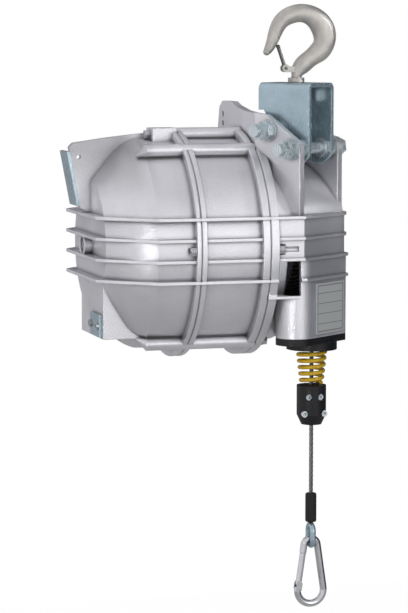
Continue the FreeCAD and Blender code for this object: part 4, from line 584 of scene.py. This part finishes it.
def coated_coil(settings):
    """The buffer spring's yellow coating, with painted shade between its turns."""
    material, tree = new_material("coated_coil")
    painted_light = place_group(tree, "edge_highlight_and_hollow_shade", Radius=0.0005, Reach=0.006)
    grain = place_group(tree, "surface_grain", Fine=1300.0, Wide=90.0)
    base = tuple(settings.coil_colour)
    colour = shaded(tree, grain.outputs["Blotch"], base, 0.90, 1.08)
    # Painted shade between the spring's turns
    colour = laid_on(tree, colour, painted_light.outputs["HollowShade"], 0.75, tint(base, 0.25))
    rough = spread(tree, grain.outputs["Blotch"], 0, 1, 0.30, 0.42)
    height = bump(tree, grain.outputs["Grain"], 0.00008, painted_light.outputs["Normal"])
    return wire(material, colour, rough, height, Coat_Weight=0.12)


def polished_steel(settings):
    """Smooth bright steel for the snap hook."""
    material, tree = new_material("polished_steel")
    painted_light = place_group(tree, "edge_highlight_and_hollow_shade", Radius=0.0004, Reach=0.008)
    grain = place_group(tree, "surface_grain", Fine=500.0, Wide=80.0)
    base = tuple(settings.machined_colour)
    colour = shaded(tree, grain.outputs["Blotch"], base, 1.05, 1.25)
    # Painted shade in the snap hook's hollows
    colour = laid_on(tree, colour, painted_light.outputs["HollowShade"], 0.5, tint(base, 0.35))
    rough = spread(tree, grain.outputs["Blotch"], 0, 1, 0.10, 0.20)
    height = bump(tree, grain.outputs["Grain"], 0.00004, painted_light.outputs["Normal"])
    return wire(material, colour, rough, height, Metallic=1.0)


def bearing_bronze(settings):
    """Bronze with the fine lines of turning."""
    material, tree = new_material("bearing_bronze")
    painted_light = place_group(tree, "edge_highlight_and_hollow_shade", Radius=0.0005, Reach=0.008)
    lines = place_group(tree, "drawn_lines", Stretch=(1.0, 0.1, 0.1), Scale=1800.0)
    base = tuple(settings.bronze_colour)
    colour = shaded(tree, spread(tree, lines.outputs["Lines"], 0.3, 0.7), base, 0.8, 1.15)
    # Painted shade in the bronze parts' hollows
    colour = laid_on(tree, colour, painted_light.outputs["HollowShade"], 0.6, tint(base, 0.4))
    rough = spread(tree, lines.outputs["Lines"], 0.25, 0.75, 0.26, 0.40)
    height = bump(tree, lines.outputs["Lines"], 0.00003, painted_light.outputs["Normal"])
    return wire(material, colour, rough, height, Metallic=1.0)


def rope_wire(settings, rope):
    """Greased rope, its strands wound in the shading only, for pieces that are plain tubes."""
    material, tree = new_material("rope_wire")
    centre = (ROPE_CENTRE[0], ROPE_CENTRE[1], 0)
    twist = place_group(tree, "strand_twist", Centre=centre, Lay=rope.lay, Strands=float(rope.strands))
    grain = place_group(tree, "surface_grain", Fine=1800.0, Wide=160.0)
    base = tint(tuple(rope.colour), 1.6)
    colour = shaded(tree, grain.outputs["Blotch"], base, 0.75, 1.25)
    # Painted shade in the grooves between the strands
    colour = laid_on(tree, colour, twist.outputs["GrooveShade"], 0.85, tint(base, 0.10))
    rough = spread(tree, grain.outputs["Blotch"], 0, 1, 0.32, 0.48)
    height = bump(tree, twist.outputs["Height"], 0.0012)
    return wire(material, colour, rough, height, Metallic=0.9)


def strand_wire(settings, rope):
    """One strand: fine wires laid against the rope's own turn."""
    material, tree = new_material("strand_wire")
    grain = place_group(tree, "surface_grain", Fine=1500.0, Wide=220.0)
    painted_light = place_group(tree, "edge_highlight_and_hollow_shade", Radius=0.0002, Reach=0.0025)
    lines = place_group(tree, "drawn_lines", Stretch=(1.0, 1.0, 0.22), Scale=2600.0)
    base = tuple(rope.colour)
    colour = shaded(tree, spread(tree, lines.outputs["Lines"], 0.35, 0.65), base, 0.62, 1.45)
    # Painted shade between the strands
    colour = laid_on(tree, colour, painted_light.outputs["HollowShade"], 0.8, tint(base, 0.12))
    rough = spread(tree, grain.outputs["Blotch"], 0, 1, 0.28, 0.45)
    height = bump(tree, lines.outputs["Lines"], 0.0002)
    return wire(material, colour, rough, height, Metallic=0.95)


def finish_node(name, material):
    """Gives a solid of the frame its finish, without touching its shape."""
    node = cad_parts[name]
    node.data.materials.clear()
    node.data.materials.append(bpy.data.materials[material])
    return node


# Pieces


class FinishOperator:
    """Gives a group of solids one finish."""
    bl_options = {"REGISTER", "UNDO"}
    finish = ""
    solids = ()

    def execute(self, context):
        if self.finish not in bpy.data.materials:
            raise RuntimeError("make the finishes first: " + self.finish)
        for name in self.solids:
            finish_node(name, self.finish)
        return {"FINISHED"}


class BALANCER_OT_make_finishes(bpy.types.Operator):
    """Builds the shared node groups and every finish"""
    bl_idname = "balancer.make_finishes"
    bl_label = "Make finishes"

    def execute(self, context):
        settings = context.scene.balancer_finish
        rope = context.scene.balancer_rope
        for make in (edge_highlight_and_hollow_shade_group, surface_grain_group, drawn_lines_group, strand_twist_group):
            make()
        for make in (die_cast_grey, drum_grey, zinc_plate, zinc_fastener, latch_wire, forged_hook,
                     turned_steel, bare_plate, moulded_black, sleeve_rubber, coated_coil,
                     polished_steel, bearing_bronze):
            make(settings)
        rope_wire(settings, rope)
        strand_wire(settings, rope)
        return {"FINISHED"}


class BALANCER_OT_castings(FinishOperator, bpy.types.Operator):
    """Finishes the three ribbed castings"""
    bl_idname = "balancer.castings"
    bl_label = "Castings"
    finish = "die_cast_grey"
    solids = ("end_cover", "drum_housing", "rope_housing")


class BALANCER_OT_rope_drum(FinishOperator, bpy.types.Operator):
    """Finishes the rope drum behind the window"""
    bl_idname = "balancer.rope_drum"
    bl_label = "Rope drum"
    finish = "drum_grey"
    solids = ("rope_drum",)


class BALANCER_OT_bracket_set(FinishOperator, bpy.types.Operator):
    """Finishes the bracket, the plates and the rope's eye in zinc"""
    bl_idname = "balancer.bracket_set"
    bl_label = "Bracket and plates"
    finish = "zinc_plate"
    solids = ("suspension_bracket", "stop_plate", "worm_cover", "thimble")


class BALANCER_OT_fasteners(FinishOperator, bpy.types.Operator):
    """Finishes the bolts, nuts and washers of the bracket and the clamp's screws"""
    bl_idname = "balancer.fasteners"
    bl_label = "Fasteners"
    finish = "zinc_fastener"
    solids = ("bracket_bolts", "bracket_nuts", "bracket_washers", "bracket_spacers", "clamp_screws")


class BALANCER_OT_latch(FinishOperator, bpy.types.Operator):
    """Finishes the sprung wire latch and its pin"""
    bl_idname = "balancer.latch"
    bl_label = "Latch"
    finish = "latch_wire"
    solids = ("safety_latch", "latch_pin")


class BALANCER_OT_hook_set(FinishOperator, bpy.types.Operator):
    """Finishes the forged hook"""
    bl_idname = "balancer.hook_set"
    bl_label = "Hook"
    finish = "forged_hook"
    solids = ("suspension_hook",)


class BALANCER_OT_turned_parts(FinishOperator, bpy.types.Operator):
    """Finishes the shaft, springs, screws and other machined steel"""
    bl_idname = "balancer.turned_parts"
    bl_label = "Machined steel"
    finish = "turned_steel"
    solids = ("main_shaft", "shaft_screw", "shaft_cap", "spring_cases", "mainsprings", "worm",
              "drum_bearings", "hook_nut", "hook_thrust_washer", "hook_split_pin",
              "tie_bolts", "tie_nuts", "flange_screws", "worm_cover_screws")


class BALANCER_OT_bronze_parts(FinishOperator, bpy.types.Operator):
    """Finishes the bushes and the worm wheel"""
    bl_idname = "balancer.bronze_parts"
    bl_label = "Bronze parts"
    finish = "bearing_bronze"
    solids = ("guide_bush", "worm_bushes", "worm_wheel")


class BALANCER_OT_rating_plate(FinishOperator, bpy.types.Operator):
    """Finishes the bare plate on the cover"""
    bl_idname = "balancer.rating_plate"
    bl_label = "Plate"
    finish = "bare_plate"
    solids = ("rating_plate",)


class BALANCER_OT_moulded_parts(FinishOperator, bpy.types.Operator):
    """Finishes the rope guide and the stop clamp"""
    bl_idname = "balancer.moulded_parts"
    bl_label = "Moulded parts"
    finish = "moulded_black"
    solids = ("rope_guide_cover", "stop_clamp_front", "stop_clamp_back")


class BALANCER_OT_buffer_spring(FinishOperator, bpy.types.Operator):
    """Finishes the coated buffer spring"""
    bl_idname = "balancer.buffer_spring"
    bl_label = "Buffer spring"
    finish = "coated_coil"
    solids = ("buffer_spring",)


class BALANCER_OT_sleeve(FinishOperator, bpy.types.Operator):
    """Finishes the sleeve over the rope's end"""
    bl_idname = "balancer.sleeve"
    bl_label = "Rope sleeve"
    finish = "sleeve_rubber"
    solids = ("rope_sleeve",)


class BALANCER_OT_snap_hook(FinishOperator, bpy.types.Operator):
    """Finishes the snap hook, its gate and the gate's pin"""
    bl_idname = "balancer.snap_hook"
    bl_label = "Snap hook"
    finish = "polished_steel"
    solids = ("carabiner_body", "carabiner_gate", "gate_pin")


class BALANCER_OT_hidden_rope(FinishOperator, bpy.types.Operator):
    """Finishes the rope stored on the drum"""
    bl_idname = "balancer.hidden_rope"
    bl_label = "Rope inside"
    finish = "rope_wire"
    solids = ("rope_windings",)


def route_points(points):
    """The points of a smooth line through the rope's route, read from its own spline."""
    curve = bpy.data.curves.new("rope_route", "CURVE")
    curve.dimensions = "3D"
    spline = curve.splines.new("NURBS")
    spline.points.add(len(points) - 1)
    for place, point in zip(spline.points, points):
        place.co = (*point, 1)
    spline.order_u = 3
    spline.use_endpoint_u = True
    spline.resolution_u = 24
    holder = bpy.data.objects.new("rope_route", curve)
    line = bpy.data.meshes.new_from_object(holder)
    found = [vertex.co.copy() for vertex in line.vertices]
    bpy.data.meshes.remove(line)
    bpy.data.objects.remove(holder)
    bpy.data.curves.remove(curve)
    return found


def even_steps(points, step):
    """Points at even steps along a line."""
    runs = [(b - a).length for a, b in zip(points, points[1:])]
    total = sum(runs)
    count = max(2, int(total / step))
    found = []
    place, gone = 0, 0.0
    for number in range(count + 1):
        want = total * number / count
        while place < len(runs) - 1 and gone + runs[place] < want:
            gone += runs[place]
            place += 1
        share = 0.0 if runs[place] == 0 else (want - gone) / runs[place]
        found.append(points[place].lerp(points[place + 1], min(1.0, share)))
    return found


def add_tube(mesh, points, radius, sides):
    """Adds a closed tube along some points to a mesh being built."""
    rings = []
    for number, point in enumerate(points):
        before = points[max(0, number - 1)]
        after = points[min(len(points) - 1, number + 1)]
        ahead = (after - before).normalized()
        aside = ahead.orthogonal() if not rings else aside - ahead * aside.dot(ahead)
        aside.normalize()
        up = ahead.cross(aside)
        rings.append([
            mesh.verts.new(point + radius * (math.cos(turn) * aside + math.sin(turn) * up))
            for turn in (math.tau * side / sides for side in range(sides))])
    for first, second in zip(rings, rings[1:]):
        for side in range(sides):
            other = (side + 1) % sides
            face = mesh.faces.new((first[side], first[other], second[other], second[side]))
            face.smooth = True
    mesh.faces.new(list(reversed(rings[0])))
    mesh.faces.new(rings[-1])


def new_piece(name, mesh, finish):
    """An object of the scene from a mesh that has been built."""
    data = bpy.data.meshes.new(name)
    mesh.to_mesh(data)
    mesh.free()
    data.materials.append(bpy.data.materials[finish])
    piece = bpy.data.objects.new(name, data)
    bpy.context.scene.collection.objects.link(piece)
    return piece


# The paid-out rope: its share of the rope's diameter, so that it stays clear of the bores, and its sides
PAID_SHARE, PAID_SIDES = 0.98, 24

# The free rope: a strand and the core between the strands as shares of the rope's radius, the sides
# of each, and the steps along one lay
STRAND_SHARE, CORE_SHARE = 0.335, 0.42
STRAND_SIDES, CORE_SIDES = 10, 8
STEPS_PER_LAY = 22


class BALANCER_OT_paid_rope(bpy.types.Operator):
    """Draws the rope from the drum to the spring as a plain tube"""
    bl_idname = "balancer.paid_rope"
    bl_label = "Paid-out rope"

    def execute(self, context):
        rope = context.scene.balancer_rope
        bottom, top = (Vector((*ROPE_CENTRE, corner.z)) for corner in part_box("upper_rope"))
        radius = rope.diameter / 2
        mesh = bmesh.new()
        add_tube(mesh, even_steps([top, bottom], radius), radius * PAID_SHARE, PAID_SIDES)
        piece = new_piece("paid_rope", mesh, "rope_wire")
        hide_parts("upper_rope")
        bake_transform(piece)
        return {"FINISHED"}


class BALANCER_OT_load_rope(bpy.types.Operator):
    """Lays the strands of the free wire rope round its core"""
    bl_idname = "balancer.load_rope"
    bl_label = "Load rope"

    def execute(self, context):
        rope = context.scene.balancer_rope
        ends = [Vector((*ROPE_CENTRE, ROPE_TOP.z)), Vector((*ROPE_CENTRE, ROPE_BOTTOM.z))]
        line = route_points([ends[0].lerp(ends[1], share) for share in (0, 0.33, 0.67, 1)])
        line = even_steps(line, rope.lay / STEPS_PER_LAY)
        radius = rope.diameter / 2
        strand = radius * STRAND_SHARE
        ring = radius - strand
        mesh = bmesh.new()
        add_tube(mesh, line, radius * CORE_SHARE, CORE_SIDES)
        length = 0.0
        travelled = [0.0]
        for before, after in zip(line, line[1:]):
            length += (after - before).length
            travelled.append(length)
        for number in range(rope.strands):
            start = math.tau * number / rope.strands
            path = []
            for point, gone in zip(line, travelled):
                turn = start + math.tau * gone / rope.lay
                path.append(point + Vector((math.cos(turn) * ring, math.sin(turn) * ring, 0)))
            add_tube(mesh, path, strand, STRAND_SIDES)
        piece = new_piece("load_rope", mesh, "strand_wire")
        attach(piece, "load_line")
        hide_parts("lower_rope")
        return {"FINISHED"}


# Stage

FLOOR_REACH = 9.0  # from its middle to each side
FLOOR_COLOUR = (0.40, 0.40, 0.40)
FLOOR_WHITE, FLOOR_MIRRORED = 0.99, 0.25  # how white the camera sees it, and how white metal does

# The studio round the balancer, dark away from the bright side, and where between the two it turns
ROOM_DARK, ROOM_BRIGHT = (0.052, 0.062, 0.080), (0.86, 0.85, 0.875)
ROOM_TURN = (-0.65, 0.28)

HOUSING_MIDDLE = (-0.12, 0.05, -0.32)
BRACKET_FOOT = (0.03, 0.0, -0.07)
SIDE_SPREAD = math.radians(10)
SENSOR = 24.0


def pale_surface(name, colour, white, mirrored):
    """A pale matte surface that the camera sees almost white, and metal and glass see dimmer."""
    material, tree = new_material(name)
    shader = tree.nodes["Principled BSDF"]
    shader.inputs["Base Color"].default_value = (*colour, 1)
    shader.inputs["Roughness"].default_value = 0.8
    out = tree.nodes["Material Output"]
    glow = add(tree, "ShaderNodeEmission")
    glow.inputs["Color"].default_value = (1, 1, 1, 1)
    rays = add(tree, "ShaderNodeLightPath")
    direct = maths(tree, "MULTIPLY", rays.outputs["Is Camera Ray"], white)
    second = maths(tree, "ADD", rays.outputs["Is Glossy Ray"], rays.outputs["Is Transmission Ray"], True)
    second = maths(tree, "MULTIPLY", second, mirrored)
    mixed = add(tree, "ShaderNodeMixShader")
    tree.links.new(maths(tree, "ADD", direct, second, True), mixed.inputs[0])
    tree.links.new(shader.outputs[0], mixed.inputs[1])
    tree.links.new(glow.outputs[0], mixed.inputs[2])
    tree.links.new(mixed.outputs[0], out.inputs["Surface"])
    return material


def soft_light(name, place, target, size, power, spread_angle=math.pi):
    """A soft rectangle of light aimed at a point."""
    light = bpy.data.lights.new(name, "AREA")
    light.shape = "RECTANGLE"
    light.size, light.size_y = size
    light.energy = power
    light.spread = spread_angle
    holder = bpy.data.objects.new(name, light)
    holder.location = place
    holder.rotation_euler = (Vector(target) - Vector(place)).to_track_quat("-Z", "Y").to_euler()
    bpy.context.scene.collection.objects.link(holder)
    return holder


class BALANCER_OT_stage(bpy.types.Operator):
    """Sets up the pale floor, the lights and the camera"""
    bl_idname = "balancer.stage"
    bl_label = "Stage"

    def execute(self, context):
        stage = context.scene.balancer_stage
        scene = context.scene
        data = bpy.data.meshes.new("floor")
        corners = [(FLOOR_REACH * x, FLOOR_REACH * y, stage.floor_height)
                   for x, y in ((-1, -1), (1, -1), (1, 1), (-1, 1))]
        data.from_pydata(corners, [], [(0, 1, 2, 3)])
        data.materials.append(
            pale_surface("floor_paper", FLOOR_COLOUR, FLOOR_WHITE, FLOOR_MIRRORED))
        floor = bpy.data.objects.new("floor", data)
        scene.collection.objects.link(floor)

        world = bpy.data.worlds.new("studio")
        scene.world = world
        world.use_nodes = True
        tree = world.node_tree
        glow = tree.nodes["Background"]
        sky = add(tree, "ShaderNodeTexCoord").outputs["Generated"]
        facing = add(tree, "ShaderNodeVectorMath", operation="DOT_PRODUCT")
        tree.links.new(sky, facing.inputs[0])
        facing.inputs[1].default_value = stage.bright_side
        lit = spread(tree, facing.outputs["Value"], *ROOM_TURN)
        room = mix_colour(tree, lit, ROOM_DARK, ROOM_BRIGHT)
        rays = add(tree, "ShaderNodeLightPath")
        colour = mix_colour(tree, rays.outputs["Is Camera Ray"], room, (1.0, 1.0, 1.0))
        tree.links.new(colour, glow.inputs["Color"])
        glow.inputs["Strength"].default_value = 1.0

        soft_light("key_light", place=(-1.5, -1.7, -0.34), target=HOUSING_MIDDLE,
                   size=(1.1, 0.16), power=stage.key_power, spread_angle=stage.key_spread)
        soft_light("fill_light", place=(1.05, -2.75, 0.1), target=HOUSING_MIDDLE,
                   size=(1.5, 1.7), power=stage.fill_power)
        soft_light("top_light", place=(-0.2, 0.3, 2.1), target=HOUSING_MIDDLE,
                   size=(2.2, 1.2), power=stage.top_power)
        soft_light("side_light", place=(1.3, -0.7, 0.3), target=BRACKET_FOOT,
                   size=(0.5, 0.4), power=stage.side_power, spread_angle=SIDE_SPREAD)

        lens = bpy.data.cameras.new("camera")
        lens.sensor_fit = "VERTICAL"
        lens.sensor_height = lens.sensor_width = SENSOR
        lens.lens = stage.lens
        camera = bpy.data.objects.new("camera", lens)
        camera.location = stage.eye
        camera.rotation_euler = (math.pi / 2 - stage.tilt, 0, -stage.turn)
        scene.collection.objects.link(camera)
        scene.camera = camera
        scene.view_settings.view_transform = "Standard"
        return {"FINISHED"}


class BALANCER_PT_panel(bpy.types.Panel):
    """Lists the pieces in the 3D view's sidebar"""
    bl_idname = "BALANCER_PT_panel"
    bl_label = "Hanging spring balancer"
    bl_space_type = "VIEW_3D"
    bl_region_type = "UI"
    bl_category = "Balancer"

    def draw(self, context):
        layout = self.layout
        for settings in ("balancer_finish", "balancer_rope", "balancer_stage"):
            group = getattr(context.scene, settings)
            box = layout.box()
            for name in group.__annotations__:
                box.prop(group, name)
        for operator in OPERATORS:
            layout.operator(operator.bl_idname)


SETTINGS = (
    ("balancer_finish", BalancerFinishSettings),
    ("balancer_rope", BalancerRopeSettings),
    ("balancer_stage", BalancerStageSettings),
)

OPERATORS = (
    BALANCER_OT_make_finishes,
    BALANCER_OT_castings,
    BALANCER_OT_rope_drum,
    BALANCER_OT_bracket_set,
    BALANCER_OT_fasteners,
    BALANCER_OT_hook_set,
    BALANCER_OT_latch,
    BALANCER_OT_turned_parts,
    BALANCER_OT_bronze_parts,
    BALANCER_OT_rating_plate,
    BALANCER_OT_moulded_parts,
    BALANCER_OT_buffer_spring,
    BALANCER_OT_sleeve,
    BALANCER_OT_snap_hook,
    BALANCER_OT_hidden_rope,
    BALANCER_OT_paid_rope,
    BALANCER_OT_load_rope,
    BALANCER_OT_stage,
)


def register():
    for name, group in SETTINGS:
        bpy.utils.register_class(group)
        setattr(bpy.types.Scene, name, PointerProperty(type=group))
    for operator in OPERATORS:
        bpy.utils.register_class(operator)
    bpy.utils.register_class(BALANCER_PT_panel)


def unregister():
    bpy.utils.unregister_class(BALANCER_PT_panel)
    for operator in reversed(OPERATORS):
        bpy.utils.unregister_class(operator)
    for name, group in reversed(SETTINGS):
        delattr(bpy.types.Scene, name)
        bpy.utils.unregister_class(group)


def main():
    register()
    for operator in OPERATORS:
        group, action = operator.bl_idname.split(".")
        getattr(getattr(bpy.ops, group), action)()


if __name__ == "__main__":
    main()
